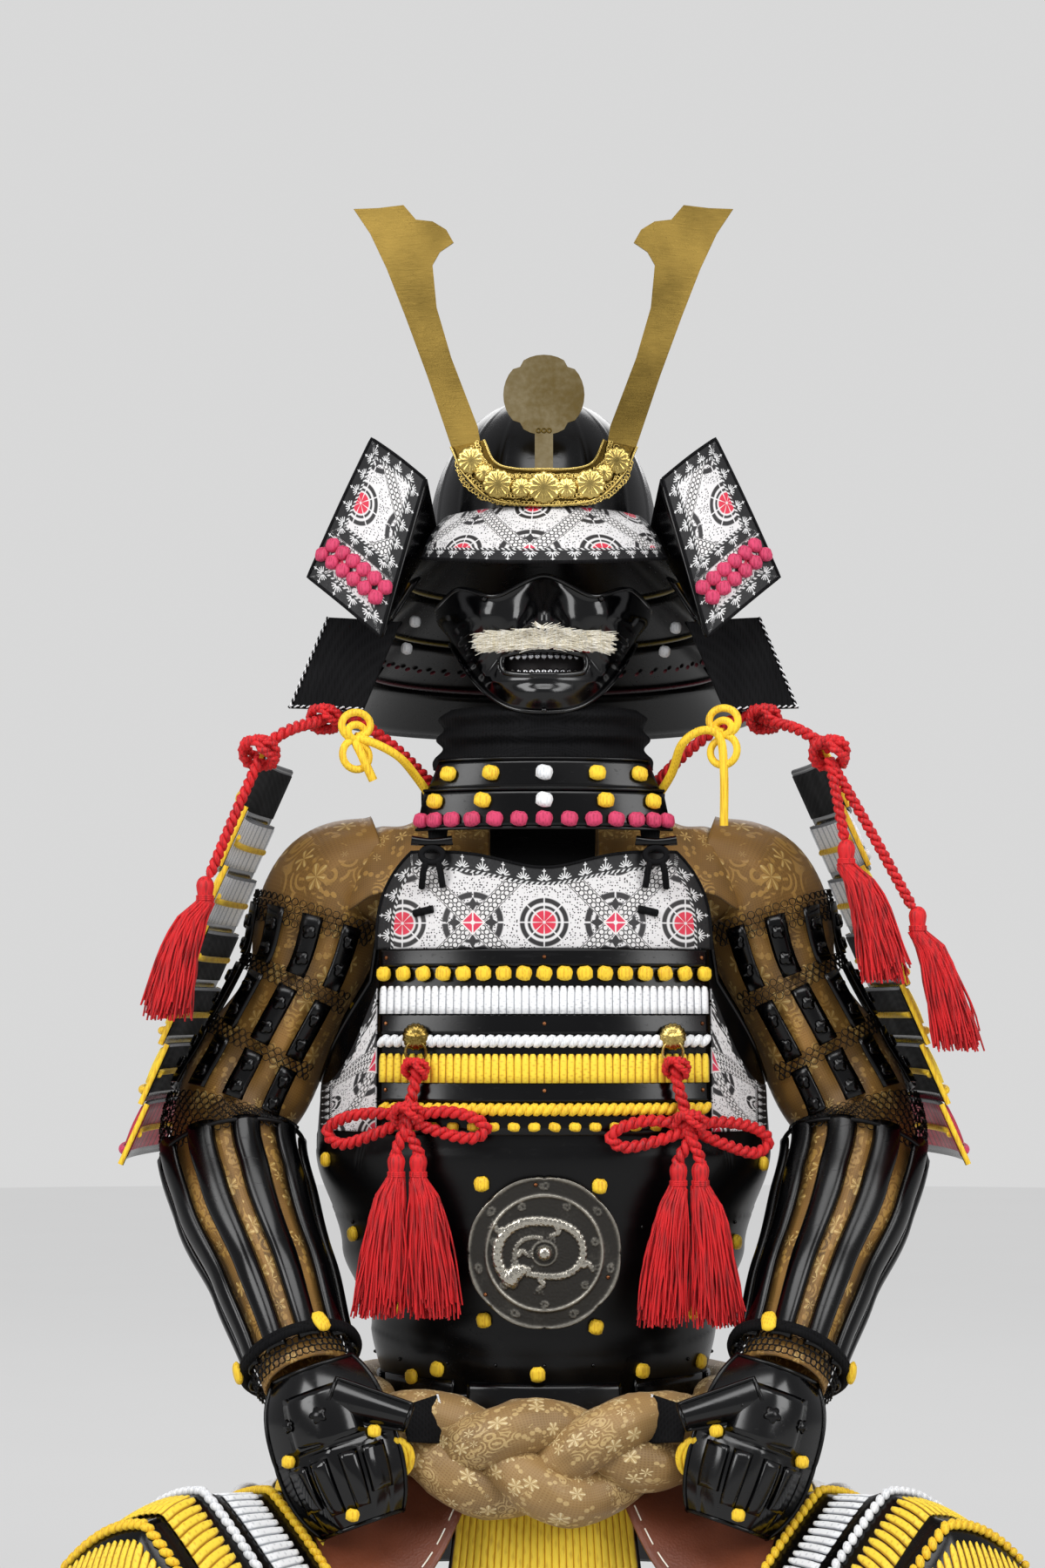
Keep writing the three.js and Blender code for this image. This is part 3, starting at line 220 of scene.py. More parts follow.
def arm_share(t):
    """Share of length along the arm to share of its rows"""
    i = 0
    while i < len(ARM_MARKS) - 2 and ARM_MARKS[i + 1] < t:
        i += 1
    return (i + (t - ARM_MARKS[i]) / (ARM_MARKS[i + 1] - ARM_MARKS[i])) / (len(ARM_MARKS) - 1)


def arm_length_at(row_share):
    """Share of rows along the arm to share of its length"""
    place = clamp01(row_share) * (len(ARM_MARKS) - 1)
    i = min(len(ARM_MARKS) - 2, int(place))
    return lerp(ARM_MARKS[i], ARM_MARKS[i + 1], place - i)


# Making pieces

def finish(obj, material, slot, replaces=(), shade=True, carve=()):
    """Gives a piece its material and hangs it under the root"""
    obj.data.materials.clear()
    obj.data.materials.append(material)
    if shade:
        obj.data.shade_smooth()
    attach(obj, "root")
    if replaces:
        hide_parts(*replaces)
    for kind, settings in carve:
        modifier = obj.modifiers.new(kind.title(), kind)
        for key, value in settings.items():
            setattr(modifier, key, value)
    return obj


def object_from(bm, name, scale=MM):
    bmesh.ops.scale(bm, vec=(scale, scale, scale), verts=bm.verts)
    mesh = bpy.data.meshes.new(name)
    bm.to_mesh(mesh)
    bm.free()
    obj = bpy.data.objects.new(name, mesh)
    bpy.context.scene.collection.objects.link(obj)
    return obj


def sheet_mesh(place, columns, rows, size=(1, 1), inside=None, weld=False, edge=None):
    """A grid laid over a surface. size is its width and height in mm for the pattern, inside a
    point that its back faces, and edge gives how far each place is from the border."""
    bm = bmesh.new()
    uv = bm.loops.layers.uv.new("UVMap")
    bmesh.ops.create_grid(bm, x_segments=columns, y_segments=rows, size=0.5)
    rim = bm.verts.layers.float.new("edge")
    run = bm.verts.layers.float.new("along")
    for vert in bm.verts:
        u, v = vert.co.x + 0.5, vert.co.y + 0.5
        vert[rim], vert[run] = edge(u, v) if edge else (1.0, 0.0)
        vert.co = (u, v, 0)
    for face in bm.faces:
        for loop in face.loops:
            loop[uv].uv = (loop.vert.co.x * size[0] * MM, loop.vert.co.y * size[1] * MM)
    for vert in bm.verts:
        vert.co = place(vert.co.x, vert.co.y)
    if weld:
        bmesh.ops.remove_doubles(bm, verts=bm.verts, dist=0.02)
    bm.normal_update()
    if inside is not None:
        side = sum(f.normal.dot(f.calc_center_median() - Vector(inside)) * f.calc_area()
                   for f in bm.faces)
        if side < 0:
            bmesh.ops.reverse_faces(bm, faces=bm.faces)
    return bm


def wall(thickness):
    return ("SOLIDIFY", {"thickness": thickness * MM, "offset": -1, "use_even_offset": True})


def swept(name, lines, radius, sides=6, caps=True):
    """Tubes along lines of points. A line may hold (point, share of the radius) pairs."""
    curve = bpy.data.curves.new(name, "CURVE")
    curve.dimensions = "3D"
    curve.bevel_depth = radius * MM
    curve.bevel_resolution = max(0, sides // 2 - 2)
    curve.use_fill_caps = caps
    for line in lines:
        spline = curve.splines.new("POLY")
        spline.points.add(len(line) - 1)
        for spot, item in zip(spline.points, line):
            point, share = item if isinstance(item, tuple) else (item, 1.0)
            spot.co = (*(point * MM), 1)
            spot.radius = share
    holder = bpy.data.objects.new(name, curve)
    mesh = bpy.data.meshes.new_from_object(holder)
    mesh.name = name
    bpy.data.objects.remove(holder)
    bpy.data.curves.remove(curve)
    obj = bpy.data.objects.new(name, mesh)
    bpy.context.scene.collection.objects.link(obj)
    return obj


def twisted(line, radius, pitch=14.0, plies=2):
    """Lines of the plies that twist round a cord's middle line"""
    found = frames_of(line)
    length = line_length(line)
    turn = 2 * math.pi * length / pitch
    return [[point + side * radius * math.cos(turn * i / len(line) + 2 * math.pi * ply / plies)
             + lift * radius * math.sin(turn * i / len(line) + 2 * math.pi * ply / plies)
             for i, (point, side, lift) in enumerate(found)] for ply in range(plies)]


def template(make):
    """A small mesh that is stamped many times"""
    bm = bmesh.new()
    make(bm)
    mesh = bpy.data.meshes.new("template")
    bm.to_mesh(mesh)
    bm.free()
    return mesh


def stamp(bm, mesh, matrix):
    first = len(bm.verts)
    bm.from_mesh(mesh)
    bm.verts.ensure_lookup_table()
    for vert in bm.verts[first:]:
        vert.co = matrix @ vert.co


def pose(point, normal, size, up=(0, 0, 1), tilt=0.0):
    """A matrix that sets a shape on a surface: its Z along the normal, its Y up"""
    out = Vector(normal).normalized()
    side = Vector(up).cross(out).normalized()
    turn = Matrix((side, out.cross(side), out)).transposed()
    turn = turn @ Matrix.Rotation(tilt, 3, "Z") @ Matrix.Diagonal(size)
    return Matrix.Translation(point) @ turn.to_4x4()


def stamped(name, mesh, matrices, material, slot, replaces=()):
    bm = bmesh.new()
    for matrix in matrices:
        stamp(bm, mesh, matrix)
    return finish(object_from(bm, name), material, slot, replaces)


def surface_normal(at, u, v, inside):
    e = 0.01
    normal = (at(u + e, v) - at(u - e, v)).cross(at(u, v + e) - at(u, v - e)).normalized()
    return normal if normal.dot(at(u, v) - Vector(inside)) > 0 else -normal


def puff_shape(bm):
    """A lacing knot: a soft square cushion with a cross pulled into it"""
    bmesh.ops.create_uvsphere(bm, u_segments=14, v_segments=9, radius=0.5)
    for vert in bm.verts:
        x, y, z = vert.co
        angle = math.atan2(y, x)
        bulge = 1 + 0.06 * math.cos(4 * angle + math.pi) + 0.035 * math.sin(7 * angle + 9 * z)
        pinch = 1.12 - 0.3 * bell(math.hypot(x, y), 0.13) * (z > 0)
        vert.co = (x * bulge, y * bulge, z * pinch)


def bead_shape(bm):
    """One bight of a twisted row of lacing"""
    bmesh.ops.create_uvsphere(bm, u_segments=8, v_segments=6, radius=0.5)


def rivet_shape(bm):
    bmesh.ops.create_cone(bm, cap_ends=True, segments=10, radius1=0.5, radius2=0.3, depth=0.5)


# Materials

def tint(text):
    """Linear colour of a hex one"""
    parts = [int(text[i:i + 2], 16) / 255 for i in (0, 2, 4)]
    return (*[p / 12.92 if p <= 0.04045 else ((p + 0.055) / 1.055) ** 2.4 for p in parts], 1)


class Graph:
    """Short calls that add nodes to one tree and join them"""

    def __init__(self, tree):
        self.tree = tree

    def node(self, kind, inputs, **settings):
        node = self.tree.nodes.new(kind)
        for key, value in settings.items():
            setattr(node, key, value)
        for key, value in inputs.items():
            if isinstance(value, bpy.types.NodeSocket):
                self.tree.links.new(value, node.inputs[key])
            else:
                node.inputs[key].default_value = value
        return node

    def math(self, operation, a, b=0.0, clamp=False):
        return self.node("ShaderNodeMath", {0: a, 1: b}, operation=operation, use_clamp=clamp).outputs[0]

    def mix(self, share, a, b):
        return self.node("ShaderNodeMix", {0: share, 6: a, 7: b}, data_type="RGBA").outputs[2]

    def span(self, value, low, high, to_low=0.0, to_high=1.0):
        """A soft step of a value between two marks"""
        return self.node("ShaderNodeMapRange", {0: value, 1: low, 2: high, 3: to_low, 4: to_high},
                         interpolation_type="SMOOTHSTEP").outputs[0]

    def band(self, value, low, high, soft):
        rise = self.span(value, low - soft, low + soft)
        return self.math("MULTIPLY", rise, self.span(value, high + soft, high - soft))

    def both(self, *masks):
        product = masks[0]
        for mask in masks[1:]:
            product = self.math("MULTIPLY", product, mask)
        return product

    def either(self, *masks):
        top = masks[0]
        for mask in masks[1:]:
            top = self.math("MAXIMUM", top, mask)
        return top

    def place(self, layer=None):
        """Object coordinates, or those of a UV layer"""
        if layer:
            return self.node("ShaderNodeUVMap", {}, uv_map=layer).outputs[0]
        return self.node("ShaderNodeTexCoord", {}).outputs["Object"]

    def scaled(self, vector, scale, turn=0.0):
        return self.node("ShaderNodeMapping", {"Vector": vector, "Scale": scale,
                                               "Rotation": (0, 0, turn)}).outputs[0]

    def parts(self, vector):
        return self.node("ShaderNodeSeparateXYZ", {0: vector}).outputs[:2]

    def noise(self, vector, scale, detail=3.0):
        return self.node("ShaderNodeTexNoise", {"Vector": vector, "Scale": scale,
                                                "Detail": detail}).outputs[0]

    def cells(self, vector, scale, output="Distance", spread=1.0):
        return self.node("ShaderNodeTexVoronoi", {"Vector": vector, "Scale": scale,
                                                  "Randomness": spread}).outputs[output]

    def wave(self, vector, scale, warp=0.0, axis="X"):
        return self.node("ShaderNodeTexWave", {"Vector": vector, "Scale": scale, "Distortion": warp,
                                               "Detail": 1.0}, bands_direction=axis).outputs[0]

    def bump(self, height, strength, distance):
        return self.node("ShaderNodeBump", {"Height": height, "Strength": strength,
                                            "Distance": distance * MM}).outputs[0]

    def group(self, tree, **inputs):
        node = self.node("ShaderNodeGroup", {}, node_tree=tree)
        for key, value in inputs.items():
            socket = node.inputs[key.replace("_", " ")]
            if isinstance(value, bpy.types.NodeSocket):
                self.tree.links.new(value, socket)
            else:
                socket.default_value = value
        return node.outputs


def shared(name, inputs, outputs, build):
    """A node group with named sockets"""
    tree = bpy.data.node_groups.new(name, "ShaderNodeTree")
    for title, kind, default in inputs:
        socket = tree.interface.new_socket(name=title, in_out="INPUT", socket_type="NodeSocket" + kind)
        if default is not None:
            socket.default_value = default
    for title, kind in outputs:
        tree.interface.new_socket(name=title, in_out="OUTPUT", socket_type="NodeSocket" + kind)
    start = tree.nodes.new("NodeGroupInput")
    end = tree.nodes.new("NodeGroupOutput")
    for title, socket in build(Graph(tree), start.outputs).items():
        tree.links.new(socket, end.inputs[title])
    return tree


def wear_build(graph, given):
    spot = graph.scaled(given["Vector"], given["Size"])
    smudges = graph.noise(spot, 9.0, 4.0)
    dust = graph.span(graph.noise(spot, 160.0, 2.0), 0.66, 0.76)
    streak = graph.noise(graph.scaled(spot, (4.0, 60.0, 40.0), 0.5), 8.0, 2.0)
    return {"Smudges": smudges, "Dust": graph.both(dust, smudges),
            "Scratches": graph.span(streak, 0.62, 0.7),
            "Grain": graph.noise(spot, 70.0, 3.0)}


def weave_build(graph, given):
    across = graph.wave(given["Vector"], given["Threads"], 0.4, "X")
    down = graph.wave(given["Vector"], given["Threads"], 0.4, "Y")
    fuzz = graph.noise(given["Vector"], 900.0, 2.0)
    height = graph.math("ADD", graph.either(across, down), graph.math("MULTIPLY", fuzz, 0.4))
    return {"Height": height, "Shade": graph.math("MULTIPLY", height, 0.7, True)}


def wheel_marks(graph, x, y, radius):
    """Black wheel with its eight segments, and the red petals at its centre"""
    reach = graph.math("SQRT", graph.math("ADD", graph.math("MULTIPLY", x, x),
                                          graph.math("MULTIPLY", y, y)))
    reach = graph.math("DIVIDE", reach, radius)
    angle = graph.math("ARCTAN2", y, x)
    spoke = graph.math("ABSOLUTE", graph.math("SINE", graph.math("MULTIPLY", angle, 4.0)))
    cut = graph.span(graph.math("MULTIPLY", spoke, reach), 0.06, 0.16)
    outer = graph.both(graph.band(reach, 0.8, 1.0, 0.03), cut)
    inner = graph.both(graph.band(reach, 0.56, 0.68, 0.03), cut)
    hub = graph.span(reach, 1.1, 1.06)
    petal = graph.both(graph.band(reach, 0.06, 0.48, 0.03), graph.span(spoke, 0.12, 0.3))
    return graph.either(outer, inner), petal, hub


def print_build(graph, given):
    """Leather print: dotted ground, wheels, lattice bands with four-petal flowers"""
    x, y = [graph.math("MULTIPLY", part, 1000.0) for part in graph.parts(given["Vector"])]
    y = graph.math("SUBTRACT", y, given["Row"])
    pitch = 66.0

    def nearest(value, step):
        return graph.math("MULTIPLY", graph.math("ROUND", graph.math("DIVIDE", value, step)), step)
    column, tall = nearest(x, pitch), nearest(y, pitch)
    cell = graph.math("ROUND", graph.math("DIVIDE", graph.math("ADD", column, tall), pitch))
    odd = graph.math("ABSOLUTE", graph.math("MODULO", cell, 2.0))
    even = graph.math("SUBTRACT", 1.0, odd)
    cx, cy = graph.math("SUBTRACT", x, column), graph.math("SUBTRACT", y, tall)
    small, petal, hub = wheel_marks(graph, cx, cy, 22.5)
    large = wheel_marks(graph, cx, cy, 28.5)[0]
    lattice, ink = [], []
    for way in (1.0, -1.0):
        across = graph.math("SUBTRACT", graph.math("ADD", x, graph.math("MULTIPLY", y, way)), pitch)
        across = graph.math("MULTIPLY", graph.math("SUBTRACT", across, nearest(across, 2 * pitch)),
                            0.7071)
        across = graph.math("ABSOLUTE", across)
        ahead = graph.math("MULTIPLY", graph.math("SUBTRACT", x, graph.math("MULTIPLY", y, way)), 0.7071)
        ahead = graph.math("SUBTRACT", ahead, nearest(ahead, 5.2))
        off = graph.math("SUBTRACT", across, 3.1)
        loop = graph.math("SQRT", graph.math("ADD", graph.math("MULTIPLY", ahead, ahead), graph.math(
            "MULTIPLY", off, off)))
        lattice.append(graph.span(across, 7.4, 7.0))
        ink.append(graph.either(graph.band(loop, 2.0, 3.0, 0.2), graph.band(across, 6.5, 7.2, 0.15)))
    bands = graph.either(*lattice)
    lines = graph.both(bands, graph.either(*[graph.both(mask, line) for mask, line in zip(lattice, ink)]))
    wide = graph.math("MAXIMUM", graph.math("ABSOLUTE", cx), graph.math("ABSOLUTE", cy))
    thin = graph.math("MINIMUM", graph.math("ABSOLUTE", cx), graph.math("ABSOLUTE", cy))
    spike = graph.math("MINIMUM", graph.math("SUBTRACT", wide, 10.0), graph.math("SUBTRACT", 24.0, wide))
    leaf = graph.span(graph.math("SUBTRACT", graph.math("MULTIPLY", spike, 0.6), thin), 0.0, 0.4)
    diamond = graph.math("ADD", wide, thin)
    flower = graph.both(odd, graph.span(diamond, 10.4, 9.8), graph.span(thin, 0.5, 0.9),
                        graph.span(diamond, 2.6, 3.2))
    dots = graph.both(graph.span(graph.cells(given["Vector"], 430.0, spread=0.6), 0.36, 0.28),
                      graph.math("SUBTRACT", 1.0, graph.both(hub, even)))
    black = graph.either(graph.both(odd, graph.either(large, leaf)), dots)
    colour = graph.mix(black, tint("dcdada"), tint("262426"))
    colour = graph.mix(bands, colour, graph.mix(lines, tint("dedcdb"), tint("232122")))
    colour = graph.mix(graph.both(small, even), colour, tint("242223"))
    colour = graph.mix(graph.both(petal, even), colour, tint("d22c46"))
    colour = graph.mix(graph.both(odd, graph.span(diamond, 12.0, 11.6)), colour, tint("e4dfdd"))
    colour = graph.mix(flower, colour, tint("d52f52"))
    return {"Color": colour, "Height": graph.either(lines, black, graph.both(small, even))}


def border_build(graph, given):
    """Black border with white fans and crosses, and the twisted stitch inside it.
    Edge is the distance from the rim and Along the way round it, both in millimetres."""
    edge, along = given["Edge"], given["Along"]
    pitch, width, step = 19.0, 14.0, 0.42
    cell = graph.math("SUBTRACT", along, graph.math("MULTIPLY", graph.math(
        "ROUND", graph.math("DIVIDE", along, pitch)), pitch))
    rise = graph.math("SUBTRACT", width - 1.2, edge)
    side = graph.math("ABSOLUTE", cell)
    reach = graph.math("SQRT", graph.math("ADD", graph.math("MULTIPLY", side, side),
                                          graph.math("MULTIPLY", rise, rise)))
    angle = graph.math("ARCTAN2", cell, rise)
    stray = graph.math("SUBTRACT", angle, graph.math("MULTIPLY", graph.math(
        "ROUND", graph.math("DIVIDE", angle, step)), step))
    ray = graph.math("MULTIPLY", graph.math("ABSOLUTE", stray), reach)
    fan = graph.both(graph.band(reach, 1.4, 6.6, 0.3), graph.span(ray, 0.62, 0.36),
                     graph.span(rise, -0.2, 0.3))
    stem = graph.both(graph.span(side, 0.6, 0.35), graph.band(rise, 5.0, 11.4, 0.2))
    bar = graph.both(graph.span(side, 1.8, 1.5), graph.band(rise, 8.8, 9.7, 0.2))
    white = graph.either(fan, stem, bar)
    border = graph.span(edge, width + 0.3, width - 0.3)
    slant = graph.math("FRACT", graph.math("DIVIDE", graph.math("ADD", along, edge), 5.0))
    stitch = graph.band(edge, width, width + 2.6, 0.3)
    thread = graph.span(slant, 0.5, 0.6)
    colour = graph.mix(border, given["Color"], tint("0b0b0e"))
    colour = graph.mix(graph.both(white, border), colour, tint("dcdcdc"))
    colour = graph.mix(stitch, colour, graph.mix(thread, tint("101012"), tint("d5d5d5")))
    ridge = graph.math("MULTIPLY", stitch, graph.math("ADD", graph.math("SINE", graph.math(
        "MULTIPLY", graph.math("ADD", along, edge), 2.5)), 2.0))
    return {"Color": colour, "Height": graph.math("ADD", given["Height"], ridge)}


def motif_build(graph, given):
    """Woven blossoms, leaves and wave scales scattered over a cloth"""
    spot = graph.scaled(given["Vector"], given["Size"])

    def around(scale, spread):
        """Local place, reach and angle inside the cells of a scatter"""
        cells = graph.node("ShaderNodeTexVoronoi", {"Vector": spot, "Scale": scale,
                                                    "Randomness": spread}).outputs
        away = graph.node("ShaderNodeVectorMath", {0: spot, 1: cells["Position"]},
                          operation="SUBTRACT").outputs[0]
        x, y = graph.parts(away)
        turn = graph.math("MULTIPLY", graph.parts(cells["Color"])[0], 6.0)
        return cells["Distance"], graph.math("ADD", graph.math("ARCTAN2", y, x), turn)
    reach, angle = around(38.0, 0.75)
    lobe = graph.math("ABSOLUTE", graph.math("SINE", graph.math("MULTIPLY", angle, 3.0)))
    petals = graph.span(graph.math("SUBTRACT", graph.math("ADD", graph.math("MULTIPLY", lobe, 0.16),
                                                          0.24), reach), 0.0, 0.03)
    vein = graph.span(lobe, 0.1, 0.3)
    heart = graph.span(reach, 0.09, 0.06)
    away, side = around(64.0, 1.0)
    blade = graph.math("ABSOLUTE", graph.math("SINE", side))
    leaf = graph.both(graph.span(graph.math("SUBTRACT", graph.math("MULTIPLY", blade, 0.44), away), 0.0,
                                 0.03), graph.span(blade, 0.5, 0.62))
    rings = graph.span(graph.math("SINE", graph.math("MULTIPLY", away, 26.0)), 0.0, 0.4)
    waves = graph.both(rings, graph.span(graph.noise(spot, 15.0, 0.0), 0.56, 0.6))
    flower = graph.both(petals, vein)
    return {"Mask": graph.either(flower, graph.both(leaf, graph.span(reach, 0.42, 0.46)),
                                 graph.both(waves, graph.span(
        reach, 0.42, 0.46))),
            "Accent": graph.either(heart, graph.both(petals, graph.span(lobe, 0.92, 0.97)))}


VECTOR = ("Vector", "Vector", None)
WEAR = shared("Lacquer wear", [VECTOR, ("Size", "Vector", (1, 1, 1))],
              [("Smudges", "Float"), ("Dust", "Float"), ("Scratches", "Float"), ("Grain", "Float")],
              wear_build)
WEAVE = shared("Thread weave", [VECTOR, ("Threads", "Float", 300.0)],
               [("Height", "Float"), ("Shade", "Float")], weave_build)
PRINT = shared("Leather print", [VECTOR, ("Row", "Float", 0.0)],
               [("Color", "Color"), ("Height", "Float")], print_build)
BORDER = shared("Fan border", [("Edge", "Float", 50.0), ("Along", "Float", 0.0),
                               ("Color", "Color", (1, 1, 1, 1)),
                               ("Height", "Float", 0.0)], [("Color", "Color"), ("Height", "Float")],
                border_build)
MOTIF = shared("Woven blossoms", [VECTOR, ("Size", "Vector", (1, 1, 1))],
               [("Mask", "Float"), ("Accent", "Float")], motif_build)


def material(name, build, **constants):
    made = bpy.data.materials.new(name)
    made.use_nodes = True
    graph = Graph(made.node_tree)
    shader = made.node_tree.nodes["Principled BSDF"]
    for key, value in constants.items():
        shader.inputs[key.replace("_", " ")].default_value = value
    for key, socket in build(graph).items():
        made.node_tree.links.new(socket, shader.inputs[key])
    return made


def lacquer(dark, light, rough, grain=0.06):
    def build(graph):
        wear = graph.group(WEAR, Vector=graph.place())
        colour = graph.mix(wear["Dust"], tint(dark), tint(light))
        roughness = graph.math("ADD", graph.span(wear["Smudges"], 0.3, 0.75, rough, rough + 0.14),
                               graph.math("MULTIPLY", wear["Scratches"], 0.08))
        return {"Base Color": colour, "Roughness": roughness,
                "Normal": graph.bump(wear["Grain"], grain, 0.5)}
    return build


def metal(dark, light, rough, brush, strength=0.25):
    def build(graph):
        wear = graph.group(WEAR, Vector=graph.place())
        lines = graph.noise(graph.scaled(graph.place(), brush), 60.0, 3.0)
        tarnish = graph.span(graph.math("ADD", wear["Smudges"], graph.math("MULTIPLY", lines, 0.35)),
                             0.45, 0.9)
        return {"Base Color": graph.mix(tarnish, tint(light), tint(dark)),
                "Roughness": graph.math("ADD", graph.math("MULTIPLY", lines, 0.2), rough),
                "Normal": graph.bump(graph.math("ADD", lines, wear["Scratches"]), strength, 0.15)}
    return build


def silk(deep, bright, threads=120.0, layer=None, strength=0.6):
    """Braided silk: fine ribs with paler crests, and on a lace painted shade that darkens its two edges"""
    def build(graph):
        spot = graph.place(layer)
        weave = graph.group(WEAVE, Vector=graph.scaled(spot, (1, 1, 1), 0.6), Threads=threads)
        cloud = graph.noise(spot, 40.0, 3.0)
        shade = graph.math("ADD", graph.math("MULTIPLY", weave["Shade"], 0.5),
                           graph.math("MULTIPLY", cloud, 0.6))
        shade = graph.span(shade, 0.25, 0.8)
        # Painted shade: on a lace the colour is pulled towards the deep tint near both edges of each lace,
        # standing in for the shade where it curves away and for the dark gaps between laces.
        if layer:
            across = graph.math("FRACT", graph.math("DIVIDE", graph.parts(spot)[0], 7 * MM))
            shade = graph.math("MULTIPLY", graph.band(across, 0.12, 0.88, 0.08),
                               graph.math("ADD", shade, 0.45, True))
        return {"Base Color": graph.mix(shade, tint(deep), tint(bright)),
                "Roughness": graph.span(cloud, 0.2, 0.8, 0.5, 0.72),
                "Normal": graph.bump(weave["Height"], strength, 0.5)}
    return build


def brocade(ground, deep, thread, accent, size=(1, 1, 1), layer="UVMap"):
    def build(graph):
        spot = graph.place(layer)
        motif = graph.group(MOTIF, Vector=spot, Size=size)
        weave = graph.group(WEAVE, Vector=spot, Threads=130.0)
        cloud = graph.noise(spot, 12.0, 3.0)
        cloth = graph.mix(graph.span(cloud, 0.3, 0.7), tint(ground), tint(deep))
        cloth = graph.mix(graph.math("MULTIPLY", weave["Shade"], 0.25), cloth, tint(thread))
        cloth = graph.mix(graph.math("MULTIPLY", motif["Mask"], 0.7), cloth, tint(thread))
        cloth = graph.mix(graph.math("MULTIPLY", motif["Accent"], 0.8), cloth, tint(accent))
        height = graph.math("ADD", graph.math("MULTIPLY", motif["Mask"], 1.4), weave["Height"])
        return {"Base Color": cloth, "Roughness": graph.span(motif["Mask"], 0.0, 1.0, 0.48, 0.34),
                "Normal": graph.bump(height, 0.45, 0.4)}
    return build


def printed(row):
    """Printed leather with its fan border, from the piece's UV map and edge attributes"""
    def build(graph):
        leather = graph.noise(graph.place("UVMap"), 500.0, 4.0)
        pattern = graph.group(PRINT, Vector=graph.place("UVMap"), Row=row)
        edge = graph.node("ShaderNodeAttribute", {}, attribute_name="edge").outputs["Fac"]
        along = graph.node("ShaderNodeAttribute", {}, attribute_name="along").outputs["Fac"]
        whole = graph.group(BORDER, Edge=edge, Along=along, Color=pattern["Color"],
                            Height=pattern["Height"])
        height = graph.math("ADD", graph.math("MULTIPLY", whole["Height"], 0.5),
                            graph.math("MULTIPLY", leather, 0.5))
        return {"Base Color": whole["Color"], "Roughness": graph.span(leather, 0.2, 0.8, 0.5, 0.68),
                "Normal": graph.bump(height, 0.45, 0.4)}
    return build


def leather(graph):
    spot = graph.place()
    pores = graph.cells(spot, 420.0)
    cloud = graph.noise(spot, 18.0, 5.0)
    return {"Base Color": graph.mix(cloud, tint("4a2114"), tint("8b4a2e")),
            "Roughness": graph.span(pores, 0.1, 0.6, 0.62, 0.42),
            "Normal": graph.bump(graph.math("ADD", pores, cloud), 0.4, 0.5)}


def black_cloth(graph):
    spot = graph.place()
    weave = graph.group(WEAVE, Vector=spot, Threads=110.0)
    return {"Base Color": graph.mix(weave["Shade"], tint("030304"), tint("101012")),
            "Roughness": graph.span(graph.noise(spot, 30.0), 0.2, 0.8, 0.75, 0.95),
            "Normal": graph.bump(weave["Height"], 0.7, 0.6)}


def fur(graph):
    strands = graph.noise(graph.scaled(graph.place(), (90, 30, 8)), 9.0, 3.0)
    return {"Base Color": graph.mix(graph.span(strands, 0.3, 0.7), tint("efe6cc"), tint("fffcf4")),
            "Roughness": graph.span(strands, 0.2, 0.8, 0.6, 0.85),
            "Normal": graph.bump(strands, 0.5, 0.5)}


def relief_silver(graph):
    spot = graph.place()
    grain = graph.noise(spot, 240.0, 4.0)
    cloud = graph.noise(spot, 45.0, 4.0)
    height = graph.node("ShaderNodeAttribute", {}, attribute_name="edge").outputs["Fac"]
    shine = graph.math("ADD", graph.math("MULTIPLY", height, 0.9), graph.math("MULTIPLY", cloud, 0.4))
    return {"Base Color": graph.mix(graph.span(shine, 0.2, 0.9), tint("403e3b"), tint("b9b4a8")),
            "Roughness": graph.span(shine, 0.2, 0.9, 0.55, 0.24), "Normal": graph.bump(grain, 0.35, 0.4)}


